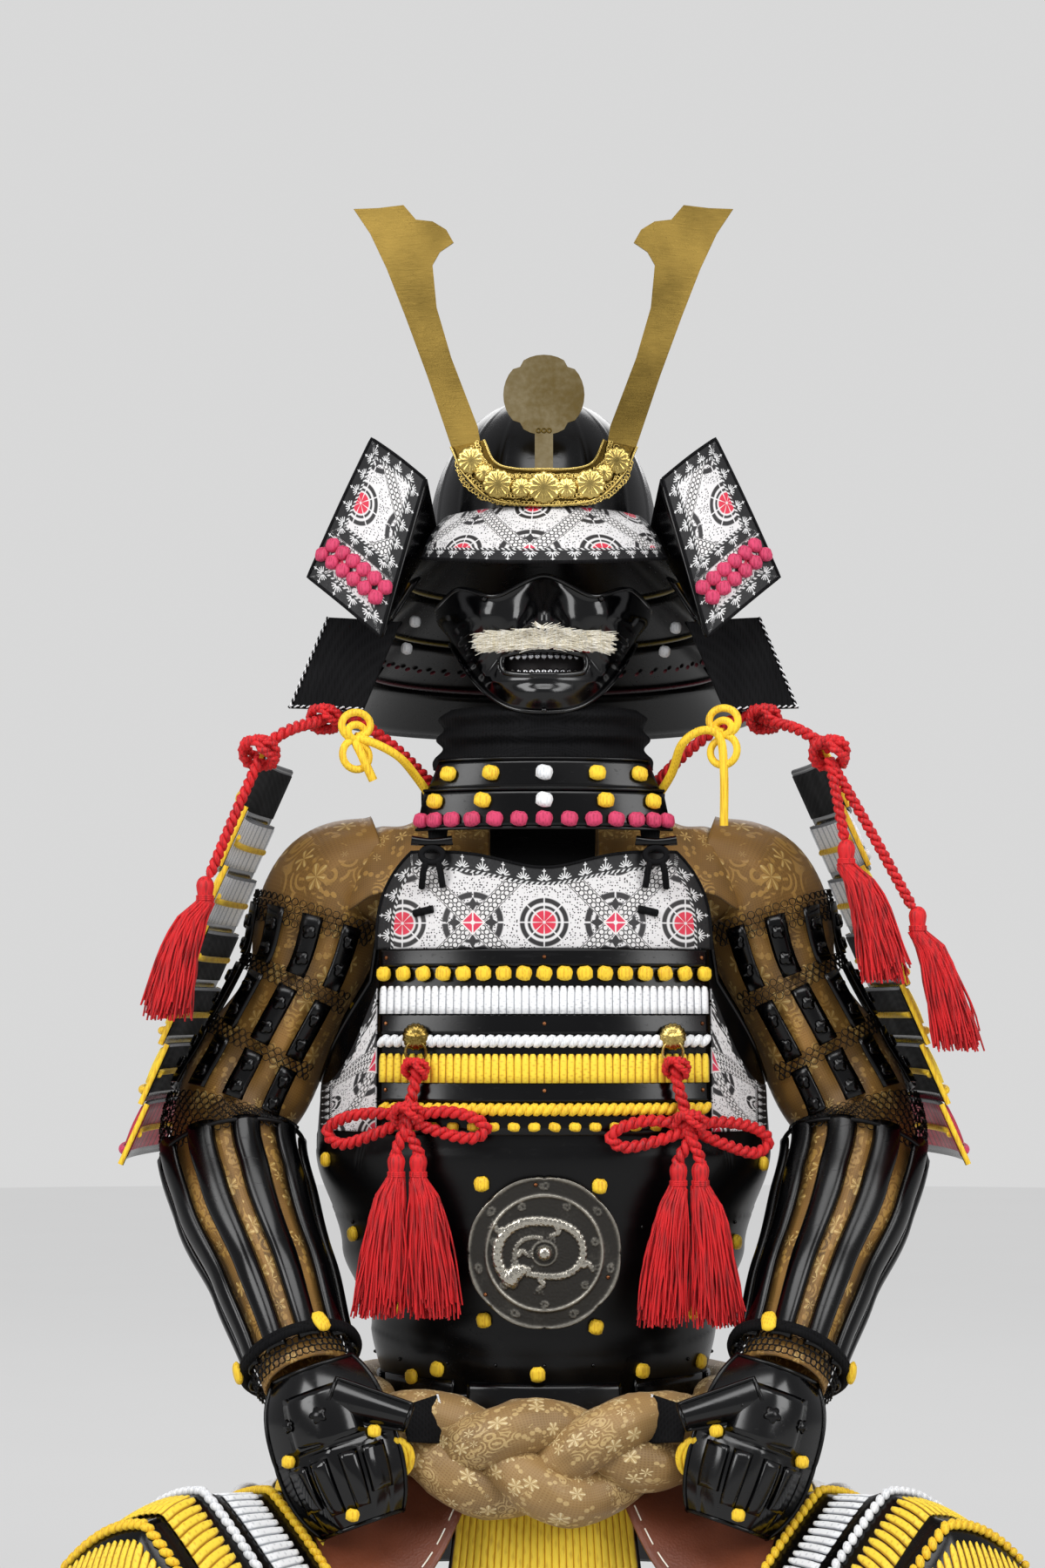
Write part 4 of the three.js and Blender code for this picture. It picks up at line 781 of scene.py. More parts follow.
FINISHES = {
    "lacquer": (lacquer("010102", "121211", 0.16), {"Specular_IOR_Level": 0.34}),
    "belly": (lacquer("010102", "121211", 0.24, 0.03), {"Specular_IOR_Level": 0.28}),
    "mask": (lacquer("010102", "111110", 0.1, 0.03), {"Specular_IOR_Level": 0.5}),
    "mouth": (lacquer("120304", "2a0c0c", 0.4), {}),
    "lip": (lacquer("8e1410", "b0281e", 0.2), {"Coat_Weight": 0.4}),
    "brushed": (metal("4c3e1c", "7e6833", 0.32, (1.2, 1.2, 90)), {"Metallic": 1.0}),
    "polished": (metal("a88f57", "efdcae", 0.08, (3, 3, 3), 0.05), {"Metallic": 1.0}),
    "gilt": (metal("5e4818", "e3c877", 0.16, (9, 9, 9), 0.2), {"Metallic": 1.0}),
    # Painted shadow: a dark copy of the gilt for the crest base, standing for the shade in the openings between
    # its scrolls.
    "shaded gilt": (metal("1c1608", "6b5423", 0.3, (9, 9, 9), 0.2), {"Metallic": 1.0}),
    "silver": (relief_silver, {"Metallic": 1.0}),
    "steel": (metal("3a3a3c", "c9c9cc", 0.12, (20, 20, 20), 0.1), {"Metallic": 1.0}),
    "mail": (metal("08080a", "201f20", 0.35, (20, 20, 20), 0.1), {"Metallic": 0.6}),
    "copper": (metal("5a3320", "a9714a", 0.3, (20, 20, 20), 0.1), {"Metallic": 1.0}),
    "yellow": (silk("dba512", "fcd32c", strength=0.3), {"Sheen_Weight": 0.06}),
    # The three lace finishes carry painted shade: each lace is darkened towards its two edges.
    "yellow lace": (silk("c08a10", "fddb3c", 60.0, "UVMap", 0.06), {"Sheen_Weight": 0.06}),
    "white": (silk("cbced2", "f4f5f6", strength=0.3), {"Sheen_Weight": 0.06}),
    "white lace": (silk("a9adb3", "f5f6f7", 60.0, "UVMap", 0.06), {"Sheen_Weight": 0.06}),
    "crimson": (silk("a51c44", "d23a66", strength=0.3), {"Sheen_Weight": 0.08}),
    "crimson lace": (silk("6c0a22", "bd1c3f", 60.0, "UVMap", 0.1), {"Sheen_Weight": 0.08}),
    "red": (silk("8f0008", "d80c16", 90.0, None, 0.5), {"Sheen_Weight": 0.06}),
    "strands": (silk("8c0007", "d60a14", 60.0, None, 0.3), {"Sheen_Weight": 0.06}),
    "black cloth": (black_cloth, {"Specular_IOR_Level": 0.15}),
    "sleeve": (brocade("9a6e2e", "5c3e15", "c2974d", "dcc07c"), {"Sheen_Weight": 0.1}),
    "rope": (brocade("977341", "6e4f25", "cdb078", "e6d5a8", (1.5, 1.5, 1.5)), {"Sheen_Weight": 0.08}),
    "chest print": (printed(24.0), {}),
    "panel print": (printed(0.0), {}),
    "leather": (leather, {}),
    "fur": (fur, {"Sheen_Weight": 0.2}),
}
PAINT = {name: material(name, build, **constants) for name, (build, constants) in FINISHES.items()}


# Shapes that more than one piece uses

def tube(name, lines, radius, sides, paint, slot):
    """Swept lines in their paint"""
    return finish(swept(name, lines, radius, sides), PAINT[paint], slot)


def rim_of(width, height, sides="lrbt"):
    """How far a place is from the bordered sides, and how far along the nearest of them"""
    def edge(u, v):
        ways = {"l": (u * width, v * height), "r": ((1 - u) * width, v * height),
                "t": (v * height, u * width), "b": ((1 - v) * height, u * width)}
        return min(ways[side] for side in sides)
    return edge


def shell(name, place, grid, paint, slot, replaces=(), thick=2.4, inside=(0, 0, 0), size=(100, 100),
          edge=None, weld=False):
    """A wall of even thickness whose outer face is the given surface"""
    bm = sheet_mesh(place, *grid, size, inside, weld, edge)
    return finish(object_from(bm, name), PAINT[paint], slot, replaces, carve=[wall(thick)])


def patches(name, at, cells, paint, slot, replaces=(), thick=2.0, grid=(3, 3), crown=0.0,
            inside=(0, 0, 0), size=(60, 60)):
    """Many small plates on one surface. A cell is (u from, u to, v from, v to)."""
    bm = bmesh.new()
    uv = bm.loops.layers.uv.new("UVMap")
    for u0, u1, v0, v1 in cells:
        first = len(bm.verts)
        bmesh.ops.create_grid(bm, x_segments=grid[0], y_segments=grid[1], size=0.5)
        bm.verts.ensure_lookup_table()
        fresh = bm.verts[first:]
        for vert in fresh:
            s, t = 2 * vert.co.x, vert.co.y + 0.5
            for loop in vert.link_loops:
                loop[uv].uv = (vert.co.x * size[0] * MM, t * size[1] * MM)
            lift = crown * math.sqrt(max(0.0, 1 - s * s))
            vert.co = at(lerp(u0, u1, 0.5 + s / 2), lerp(v0, v1, t), lift)
        faces = {face for vert in fresh for face in vert.link_faces}
        for face in faces:
            face.normal_update()
        facing = sum(face.normal.dot(face.calc_center_median() - Vector(inside)) for face in faces)
        if facing < 0:
            bmesh.ops.reverse_faces(bm, faces=list(faces))
    return finish(object_from(bm, name), PAINT[paint], slot, replaces, carve=[wall(thick)])


def knots(name, spots, paint, slot, size=(14, 13, 9)):
    """Soft lacing knots. A spot is (point, normal)."""
    chance = random.Random(len(spots))
    matrices = [pose(point + Vector(normal).normalized() * size[2] * 0.2, normal, size,
                     tilt=chance.uniform(-0.3, 0.3))
                for point, normal in spots]
    return stamped(name, PUFF, matrices, PAINT[paint], slot)


def corded_row(name, at, u0, u1, v, count, paint, slot, size=(11, 6, 7), slant=0.55):
    """A row of lacing that runs along a lame and shows as slanting bights"""
    matrices = []
    for k in range(count):
        u = lerp(u0, u1, (k + 0.5) / count)
        point, ahead = at(u, v, 2.5), at(u + 0.004, v, 2.5)
        normal = (ahead - point).cross(at(u, v + 0.01, 2.5) - point).normalized()
        if normal.dot(at(u, v, 8) - point) < 0:
            normal = -normal
        along = (ahead - point).normalized()
        turn = Matrix((along, normal.cross(along), normal)).transposed()
        turn = turn @ Matrix.Rotation(slant, 3, "Z") @ Matrix.Diagonal(size)
        matrices.append(Matrix.Translation(point) @ turn.to_4x4())
    return stamped(name, BEAD, matrices, PAINT[paint], slot)


def laced(name, at, u0, u1, v0, v1, count, paint, slot, bulge=1.0):
    """Upright flat laces between two edges of a surface, u across it and v down it"""
    bm = bmesh.new()
    uv = bm.loops.layers.uv.new("UVMap")
    chance = random.Random(7)
    for k in range(count):
        first = len(bm.verts)
        bmesh.ops.create_grid(bm, x_segments=3, y_segments=5, size=0.5)
        bm.verts.ensure_lookup_table()
        wobble = chance.uniform(-0.12, 0.12)
        for vert in bm.verts[first:]:
            s, t = vert.co.x, clamp01(vert.co.y + 0.5) ** 1.6
            for loop in vert.link_loops:
                loop[uv].uv = ((k + 0.5 + s) * LACE_WIDTH * MM, t * LACE_LENGTH * MM)
            slim = (1 - LACE_GAP) * (1 - 0.62 * max(0.0, 1 - t / 0.2) ** 2)
            u = lerp(u0, u1, (k + 0.5 + s * slim + wobble * (t - 0.5) * 0.5) / count)
            lift = bulge * (2.2 * (1 - (2 * s) ** 2) + 0.9 * math.sin(math.pi * t) + 2 * wobble)
            vert.co = at(u, lerp(v0, v1, t), lift)
    bm.normal_update()
    return finish(object_from(bm, name), PAINT[paint], slot, carve=[wall(1.2)])


def front_at(u, z, out=0.0):
    """Over the front lames: u runs across, z is the height"""
    return trunk_at_x(lerp(-154, 154, u), z, out)


def corner_panel(corners, swell):
    """A panel through four corners (upper inner, upper outer, lower inner, lower outer)"""
    def at(u, v, out=0.0):
        top = corners[0].lerp(corners[1], u)
        low = corners[2].lerp(corners[3], u)
        point = top.lerp(low, v)
        point.y -= swell * (math.sin(math.pi * u) * 0.7 + math.sin(math.pi * v) * 0.5) + out
        return point
    return at


def mask_point(u, v, out=0.0):
    """Over the half mask: u runs from cheek to cheek, v from the chin up"""
    angle = lerp(math.radians(-MASK_TURN), math.radians(MASK_TURN), u)
    sine = abs(math.sin(angle))
    top_edge = (192 + 6 * bell(sine, 0.16) - 12 * bell(sine - 0.45, 0.2)
                - 12 * smooth((sine - 0.75) / 0.25))
    z = lerp(70 + 78 * sine ** 2.6, top_edge, v)
    x = (MASK_HALF_WIDTH + out) * math.sin(angle) * lerp(0.86, 1, smooth(v * 1.3))
    roundness = (MASK_DEPTH + out) * max(0.0, math.cos(angle)) ** 0.8
    nose = 30 * bell(x, 15) * bell(z - 152, 34 if z > 152 else 13)
    wings = 9 * bell(abs(x) - 17, 7) * bell(z - 150, 9)
    nostrils = -7 * bell(abs(x) - 9, 4.5) * bell(z - 141, 5)
    cheeks = 8 * bell(abs(x) - 56, 20) * bell(z - 164, 16)
    chin = 14 * bell(x, 30) * bell(z - 86, 15)
    lips = 6 * bell(x, 46) * (bell(z - 131, 6) + bell(z - 101, 7))
    fold = abs(x) - (26 + (150 - z) * 0.62)
    crease = -4.5 * bell(fold, 5) * bell(z - 134, 26)
    lines = 1.6 * math.sin((abs(x) * 0.5 + z) * 0.42) * bell(abs(x) - 74, 15) * bell(z - 126, 30)
    dimple = -3 * bell(x, 26) * bell(z - 97, 5)
    lids = 3.5 * bell(z - top_edge, 5) * bell(sine - 0.45, 0.3)
    shelf = 6 * smooth((0.2 - v) / 0.2)
    depth = (roundness + nose + wings + nostrils + cheeks + chin + lips + crease + lines + dimple
             + lids - shelf)
    return Vector((x, -depth, z))


def mask_at(x, z, out=0.0):
    """The same surface at a place seen from the front"""
    low, high = 0.0, 1.0
    u = 0.5 + math.asin(max(-0.98, min(0.98, x / MASK_HALF_WIDTH))) / math.radians(2 * MASK_TURN)
    for _ in range(14):
        v = (low + high) / 2
        if mask_point(u, v).z < z:
            low = v
        else:
            high = v
    return mask_point(u, v, out)


NECK_ROWS = []
for lame in range(4):
    rise = 8 if lame == 0 else 0
    NECK_ROWS.append((114 - rise * 0.4 + lame * 19, 132 - rise * 0.4 + lame * 16, 250 - lame * 44 + rise))
    NECK_ROWS.append((142 + lame * 20, 157 + lame * 17, 207 - lame * 44))


def neck_at(lame):
    top, low = NECK_ROWS[2 * lame], NECK_ROWS[2 * lame + 1]

    def at(u, v, out=0.0):
        angle = lerp(math.radians(NECK_OPENING), math.radians(360 - NECK_OPENING), u)
        return ring_point(angle, lerp(top[0], low[0], v) + out, lerp(top[1], low[1], v) + out,
                          lerp(top[2], low[2], v))
    return at


def guard_at(side, lame):
    """Over one lame of a shoulder guard"""
    def at(u, v, out=0.0):
        t = (lame + 0.96 * v) / GUARD_LAMES
        step = 7 * v
        x = lerp(254, 378, t) + step + 14 * (1 - (2 * u - 1) ** 2) + out + 3
        return Vector((x * side, lerp(-138, 146, u), lerp(36, -346, t) - step * 0.3 - out * 0.3))
    return at


LAP_LINE = ((205, -138, -642), (252, -190, -642), (298, -252, -634), (336, -304, -652), (352, -330, -712))


def lap_drop(distance):
    if distance > 0:
        return 105 * (distance / 105) ** 1.12
    return 60 * (distance / 105) ** 2


def spline_at(points, t):
    """A place on a smooth curve by share of its points"""
    place = clamp01(t) * (len(points) - 1)
    i = min(len(points) - 2, int(place))
    f = place - i
    a = points[i - 1] if i else points[0] * 2 - points[1]
    b, c = points[i], points[i + 1]
    d = points[i + 2] if i + 2 < len(points) else points[-1] * 2 - points[-2]
    return 0.5 * (2 * b + (c - a) * f + (2 * a - 5 * b + 4 * c - d) * f * f
                  + (3 * b - a - 3 * c + d) * f ** 3)


def tasset_lines(kind, side, turn):
    """Where a tasset runs: its top at the waist, then the points beyond the belt"""
    if kind == "lap":
        place = math.radians((52 - turn * 20) * side)
        points = []
        for i, (x, y, z) in enumerate(LAP_LINE):
            distance = turn * lerp(66, 104, i / 4)
            drop = lap_drop(distance) * (0.6 if i == 4 else 1)
            points.append(Vector(((x - 0.82 * distance) * side, y - 0.57 * distance, z - drop)))
        return trunk_point(place, -548, 1.2), [trunk_point(place, BELT_HEIGHT - 20, 9), *points]
    angle, half, seat, end, wide, lift = HANGING[kind]
    angle, end = angle * side, (end[0] * side, end[1], end[2])
    across = Vector((math.cos(math.radians(angle)), math.sin(math.radians(angle)), 0))
    place = math.radians(angle + turn * half)
    low = Vector(end) + across * turn * wide
    low.z -= lift * turn * turn
    tucked = trunk_point(place, BELT_HEIGHT - 2, 11)
    knee = tucked.lerp(low, 0.35) + Vector((0, 0, -8))
    return trunk_point(place, -548, seat), [tucked, knee, tucked.lerp(low, 0.7), low]


HANGING = {
    "front": (0, 27, 0.7, (0, -172, -800), 96, 0),
    "hip": (97, 20, 1.3, (352, 26, -700), 92, 20),
    "back": (149, 26, 1.9, (132, 214, -770), 96, 8),
}
TASSET_OUT = ((0.2, 0), (0.43, 2), (0.46, 7), (0.62, 3), (0.65, 8), (0.8, 4), (0.83, 9), (1, 6))


def tasset_at(kind, side):
    if kind == "lap":
        outward = Vector((0.25 * side, -0.3, 0.92)).normalized()
    else:
        turn = math.radians(HANGING[kind][0] * side)
        outward = Vector((math.sin(turn), -math.cos(turn), 0.25)).normalized()

    def at(u, v, out=0.0):
        top, points = tasset_lines(kind, side, 2 * u - 1)
        if v < 0.2:
            return top.lerp(points[0], clamp01(v / 0.2)) + outward * (3 + out)
        i = 0
        while i < len(TASSET_OUT) - 2 and TASSET_OUT[i + 1][0] < v:
            i += 1
        (t0, o0), (t1, o1) = TASSET_OUT[i:i + 2]
        step = lerp(o0, o1, clamp01((v - t0) / (t1 - t0)))
        return spline_at(points, (v - 0.2) / 0.8) + outward * (3 + step + out)
    return at


def apron_at(side):
    line = [Vector(p) for p in ((150, -84, -578), (188, -124, -638)) + LAP_LINE[1:]
            + ((362, -340, -820),)]

    def at(u, v, out=0.0):
        distance = lerp(-74, 118, u)
        point = spline_at(line, lerp(0.08, 1, v))
        point += Vector((-0.82, -0.57, 0)) * distance
        drop = lerp(0.25, 1, smooth(v / 0.36)) * lerp(1, 0.35, smooth((v - 0.55) / 0.45))
        point.z -= lap_drop(distance) * drop + 2.5
        tuck = smooth((v - 0.6) / 0.3)
        return mirrored(point + Vector((-12 * tuck, 14 * tuck, out)), side)
    return at


def hand_frame():
    long = Vector((0.33, -0.16, -0.93)).normalized()
    face = Vector((-0.12, -0.97, 0.16))
    face = (face - long * face.dot(long)).normalized()
    return Vector((-186, -204.4, -590)), long, face, long.cross(face).normalized()


def hand_at(side):
    centre, long, face, across = hand_frame()

    def at(u, v, out=0.0):
        turn = 2 * u - 1
        half = HAND_HALF_WIDTH * math.sqrt(1 - 0.55 * abs(2 * v - 1) ** 2.6)
        ridge = 5 * bell(turn, 0.2) * bell(v - 0.6, 0.3)
        knuckles = 3 * bell(abs(turn) - 0.42, 0.2) * smooth((v - 0.52) / 0.1)
        groove = -2 * bell(v - 0.5, 0.02) - 1.6 * bell(abs(turn) - 0.72, 0.04) * smooth((v - 0.5) / 0.1)
        dome = 26 - 26 * abs(turn) ** 2.2 - 16 * abs(2 * v - 1) ** 3
        point = centre + long * lerp(-HAND_HALF_LENGTH, HAND_HALF_LENGTH, v) + across * turn * half
        return mirrored(point + face * (dome + ridge + knuckles + groove + out), -side)
    return at


def thumb_at(side):
    start, end = Vector((-190, -214, -546)), Vector((-120, -222, -562))

    def at(u, v, out=0.0):
        half, turn = lerp(17, 11, v), 2 * u - 1
        point = start.lerp(end, v) + Vector((half * 0.35 * turn, -9 * (1 - turn * turn) - 2.4 - out,
                                             half * turn))
        return mirrored(point, -side)
    return at


def tassel_parts(name, top, length, lean, spread, count, slot, replaces):
    """A knotted head and a skirt of fine strands"""
    chance = random.Random(name)
    lines = []
    for k in range(count):
        ring = math.sqrt((k + 0.5) / count)
        angle = k * GOLDEN_ANGLE
        root = Vector((7 * ring * math.cos(angle), 7 * ring * math.sin(angle),
                       -12 - chance.uniform(0, 6)))
        reach = spread * ring * chance.uniform(0.85, 1.15)
        end = Vector((lean[0] + reach * math.cos(angle), lean[1] + reach * 0.5 * math.sin(angle),
                      -length + chance.uniform(-7, 14)))
        wave = chance.uniform(-2.6, 2.6)
        line = []
        for t in steps(7):
            point = root.lerp(end, t)
            point.x = lerp(root.x, end.x, t ** 0.55) + wave * math.sin(7 * t + k)
            point.y = lerp(root.y, end.y, t ** 0.55)
            line.append((top + point, 1.0 - 0.35 * t))
        lines.append(line)
    finish(swept(name + "_skirt", lines, 1.25, 4), PAINT["strands"], slot, replaces)
    bands = [(0, 9.8, 2.0), (0, 7.5, 6.4), (0, 1, 9.2), (0, -7, 6.6), (0, -12, 7.2), (0, -22, 8.6)]
    bm = bmesh.new()
    profile = [bm.verts.new(top + Vector((max(0.01, r), 0, z))) for _, z, r in bands]
    edges = [bm.edges.new(pair) for pair in zip(profile, profile[1:])]
    bmesh.ops.spin(bm, geom=profile + edges, cent=top, axis=(0, 0, 1), angle=2 * math.pi, steps=20,
                   use_merge=True, use_duplicate=False)
    bmesh.ops.remove_doubles(bm, verts=bm.verts, dist=0.05)
    bmesh.ops.holes_fill(bm, edges=bm.edges, sides=24)
    bmesh.ops.recalc_face_normals(bm, faces=bm.faces)
    finish(object_from(bm, name + "_head"), PAINT["red"], slot,
           carve=[("SUBSURF", {"levels": 1, "render_levels": 1})])
    ties = [[Vector((top.x + 7.4 * math.cos(a), top.y + 7.4 * math.sin(a), top.z - 9 - 1.6 * k))
             for a in steps(16, 0, 2 * math.pi)] for k in range(3)]
    tube(name + "_tie", ties, 1.1, 6, "red", slot)


PUFF = template(puff_shape)
BEAD = template(bead_shape)
RIVET = template(rivet_shape)


# Settings and operators

class ArmourSettings(bpy.types.PropertyGroup):
    """Sizes that a user may change before the pieces are made"""
    cord_width: bpy.props.FloatProperty(
        name="Cord width", description="Width of the red silk cords", default=0.0115, unit="LENGTH")
    strands: bpy.props.IntProperty(
        name="Tassel strands", description="Strands in each tassel", default=210, min=40, max=600)
    hairs: bpy.props.IntProperty(
        name="Moustache hairs", description="Hairs in the moustache", default=1100, min=100, max=3000)
    mail_ring: bpy.props.FloatProperty(
        name="Mail ring", description="Width of a ring of mail", default=0.0078, unit="LENGTH")
    ground: bpy.props.FloatVectorProperty(
        name="Ground colour", description="Colour of the studio floor and backdrop", subtype="COLOR",
        default=(0.69, 0.69, 0.69))


class Piece(bpy.types.Operator):
    """What every operator here shares"""
    bl_options = {"REGISTER", "UNDO"}

    def execute(self, context):
        self.make(context.scene.armour)
        return {"FINISHED"}


class ARMOUR_OT_stage(Piece):
    """Adds the floor, the soft lights and the camera"""
    bl_idname = "armour.stage"
    bl_label = "Stage"

    def make(self, settings):
        bm = bmesh.new()
        bmesh.ops.create_circle(bm, cap_ends=True, segments=96, radius=9)
        bmesh.ops.translate(bm, vec=(0, 0, CAD_BOX[0][2] - 0.02), verts=bm.verts)
        floor = object_from(bm, "floor", 1.0)

        def paper(graph):
            cloud = graph.noise(graph.place(), 3.0, 2.0)
            glow, shade = [[tuple(c * k * dim for c in settings.ground) + (1,) for k in (0.99, 1.01)]
                           for dim in (0.835, 0.18)]
            return {"Base Color": graph.mix(cloud, *shade),
                    "Roughness": graph.span(cloud, 0, 1, 0.9, 0.98),
                    "Emission Color": graph.mix(cloud, *glow)}
        floor.data.materials.append(material("studio paper", paper, Emission_Strength=1.0,
                                             Specular_IOR_Level=0.0))
        world = bpy.data.worlds.new("studio")
        world.use_nodes = True
        graph = Graph(world.node_tree)
        seen = graph.node("ShaderNodeLightPath", {}).outputs["Is Camera Ray"]
        back = world.node_tree.nodes["Background"]
        sky = graph.mix(seen, (0.34, 0.34, 0.35, 1), (*settings.ground, 1))
        world.node_tree.links.new(sky, back.inputs["Color"])
        bpy.context.scene.world = world
        lamps = (((-2.5, -2.3, 1.3), (1.5, 2.0), 62), ((2.5, -2.3, 1.3), (1.5, 2.0), 54),
                 ((0, -2.2, 2.8), (2.6, 1.2), 52), ((0, 2.6, 1.8), (2.6, 1.6), 30))
        for i, (spot, size, power) in enumerate(lamps):
            light = bpy.data.lights.new("softbox_%d" % i, "AREA")
            light.shape, light.size, light.size_y, light.energy = "RECTANGLE", *size, power
            lamp = bpy.data.objects.new(light.name, light)
            lamp.location = spot
            lamp.rotation_euler = (Vector((0, 0, -0.2))
                                   - lamp.location).to_track_quat("-Z", "Y").to_euler()
            bpy.context.scene.collection.objects.link(lamp)
        camera = bpy.data.cameras.new("camera")
        camera.lens, camera.sensor_width = 67.5, 36
        eye = bpy.data.objects.new("camera", camera)
        eye.location = (-0.020, -2.840, -0.210)
        eye.rotation_euler = (math.radians(94.49), 0, 0)
        bpy.context.scene.collection.objects.link(eye)
        bpy.context.scene.camera = eye
        bpy.context.scene.view_settings.view_transform = "Standard"


def red_cord(name, points, diameter, replaces=()):
    """A cord of two silk plies twisted together"""
    line = smooth_line(points, max(24, int(line_length([Vector(p) for p in points]) / 2.2)))
    plies = twisted(line, diameter * 0.26, diameter * 1.5)
    cord = finish(swept(name, plies, diameter * 0.27, 8), PAINT["red"], "red_silk", replaces)
    line_length(line) * MM
    return cord


def ball_knot(name, centre, size, paint="red", slot="red_silk"):
    """A knot tied in a cord: three crossing turns"""
    lines = []
    for tilt in (0.5, -0.6, 1.57):
        turn = Matrix.Rotation(tilt, 3, "Y") @ Matrix.Rotation(tilt * 0.7, 3, "Z")
        ring = [centre + turn @ Vector((size[0] * math.cos(a), -size[1] * abs(math.sin(a)) ** 0.5 * (
            1 if math.sin(a) > 0 else -1) * 0.8, size[2] * math.sin(a)))
                for a in steps(28, 0, 2 * math.pi)]
        lines.extend(twisted(ring, size[0] * 0.16, size[0] * 0.9))
    return tube(name, lines, size[0] * 0.2, 6, paint, slot)


class ARMOUR_OT_cords(Piece):
    """Ties the red bows, the cords of the shoulder guards and the yellow tapes"""
    bl_idname = "armour.cords"
    bl_label = "Cords"

    def make(self, settings):
        width = settings.cord_width / MM
        for word, side in SIDES:
            upper, centre = ((118, -259.6), (125, -302)) if side < 0 else ((121, -258.7), (132, -310))
            level = BOW_LEVEL

            def p(x, y, z):
                return Vector((x * side, y, z))
            cx, cz = centre
            loops = {
                "inner": [(cx, 0, cz), (cx - 36, -9, cz + 4), (cx - 62, -14, cz - 2),
                          (cx - 72, -14, cz - 12),
                          (cx - 58, -13, cz - 20), (cx - 28, -7, cz - 14), (cx, 0, cz - 4)],
                "outer": [(cx, 0, cz), (cx + 34, 12, cz + 2), (cx + 62, 28, cz - 4),
                          (cx + 76, 38, cz - 16),
                          (cx + 62, 28, cz - 27), (cx + 30, 10, cz - 17), (cx, 0, cz - 4)],
            }
            knot = ball_knot("bow_knot_" + word, p(cx, level - 4, cz), (12, 8, 12))
            top = ball_knot("top_knot_" + word, p(upper[0], level + 2, upper[1]), (10, 8, 9))
            start = p(upper[0], level + 4, upper[1] + 8)
            hang = [start, p(upper[0], level + 2, upper[1] - 10), p(cx, level - 1, cz),
                    p(cx, level - 4, cz - 14), p(cx - 10, level - 5, cz - 32),
                    p(cx - 10, level - 5, cz - 44)]
            red_cord("bow_stem_" + word, hang, width,
                     ("bow_cord_" + word,))
            outer = [p(x, level + y, z) for x, y, z in loops["outer"]]
            outer += [p(cx + 3, level - 6, cz - 14), p(cx + 10, level - 5, cz - 32),
                      p(cx + 10, level - 5, cz - 44)]
            red_cord("bow_outer_" + word, outer, width)
            inner = [p(x, level + y, z) for x, y, z in loops["inner"]]
            red_cord("bow_inner_" + word, inner, width)
            main = [p(105, -32, 8.3), p(138, -60, 40), p(170, -78, 63), p(196, -88, 70.4),
                    p(214, -112, 62), p(236, -138, 52), p(262, -149, 34)]
            knot = ball_knot("guard_knot_" + word, p(262, -149, 30), (14, 11, 14))
            extra = ball_knot("guard_knot_upper_" + word, p(206, -102, 66), (12, 10, 12))
            red_cord("guard_cord_main_" + word, main, width,
                     ("guard_cord_" + word,))
            ends = [(306, -158, -84)] if side < 0 else [(274, -160, -50), (336, -156, -112)]
            for i, (x, y, z) in enumerate(ends):
                points = [p(262, -150, 24), p(lerp(262, x, 0.5), -158, lerp(24, z, 0.5)), p(x, y, z)]
                red_cord("guard_fall_%s_%d" % (word, i + 1), points, width * 0.9)
            if side < 0:
                tape = [p(103, -84.8, -11.2), p(118, -98, 10), p(134, -122, 28), p(156, -132, 40),
                        p(174, -134, 44), p(168, -136, 28), p(158, -132, 6)]
            else:
                tape = [p(103, -84.8, -11.2), p(119, -100, 14), p(128, -128, 40), p(146, -136, 52),
                        p(162, -136, 46), p(166, -136, 14), p(166, -132, -36)]
            line = smooth_line(tape, 60)
            ribbon = swept("yellow_tape_" + word, [line], 4.2, 8)
            finish(ribbon, PAINT["yellow"], "yellow_lacing", ("yellow_tie_" + word,))
            bow = [p(174 if side < 0 else 166, -134, 44 if side < 0 else 48)]
            sweeps = [[bow[0] + Vector((side * rx * math.sin(a), -5 * math.sin(a),
                                        rz * (1 - math.cos(a)) + dz * t))
                       for t, a in ((a / (2 * math.pi), a) for a in steps(30, 0, 2 * math.pi))]
                      for rx, rz, dz in ((13, 12, 2), (12, -13, -4), (7, 6, 3))]
            bows = tube("yellow_bow_" + word, sweeps, 3.6, 8, "yellow", "yellow_lacing")
            line_length(line) * MM


class ARMOUR_OT_tassels(Piece):
    """Hangs the red silk tassels"""
    bl_idname = "armour.tassels"
    bl_label = "Tassels"

    def make(self, settings):
        for word, side in SIDES:
            cx, cz = (125, -302) if side < 0 else (132, -310)
            for i, way in enumerate((-1, 1)):
                top = Vector(((cx + 10 * way) * side, BOW_LEVEL - 5, cz - 42.1))
                name = "chest_tassel_%s_%d" % (word, i + 1)
                tassel_parts(name, top, 134, (15 * way * side, -6), 24, settings.strands, "red_silk",
                             (name,))
            ends = [(306, -158, -84)] if side < 0 else [(274, -160, -50), (336, -156, -112)]
            for i, (x, y, z) in enumerate(ends):
                bend = Vector((lerp(262, x, 0.5), -158, lerp(24, z, 0.5)))
                end = Vector((x, y, z))
                top = mirrored(end + (end - bend).normalized() * 9.9, side)
                name = "guard_tassel_%s_%d" % (word, i + 1)
                tassel_parts(name, top, 116, (34 * side, -4), 22, settings.strands, "red_silk", (name,))


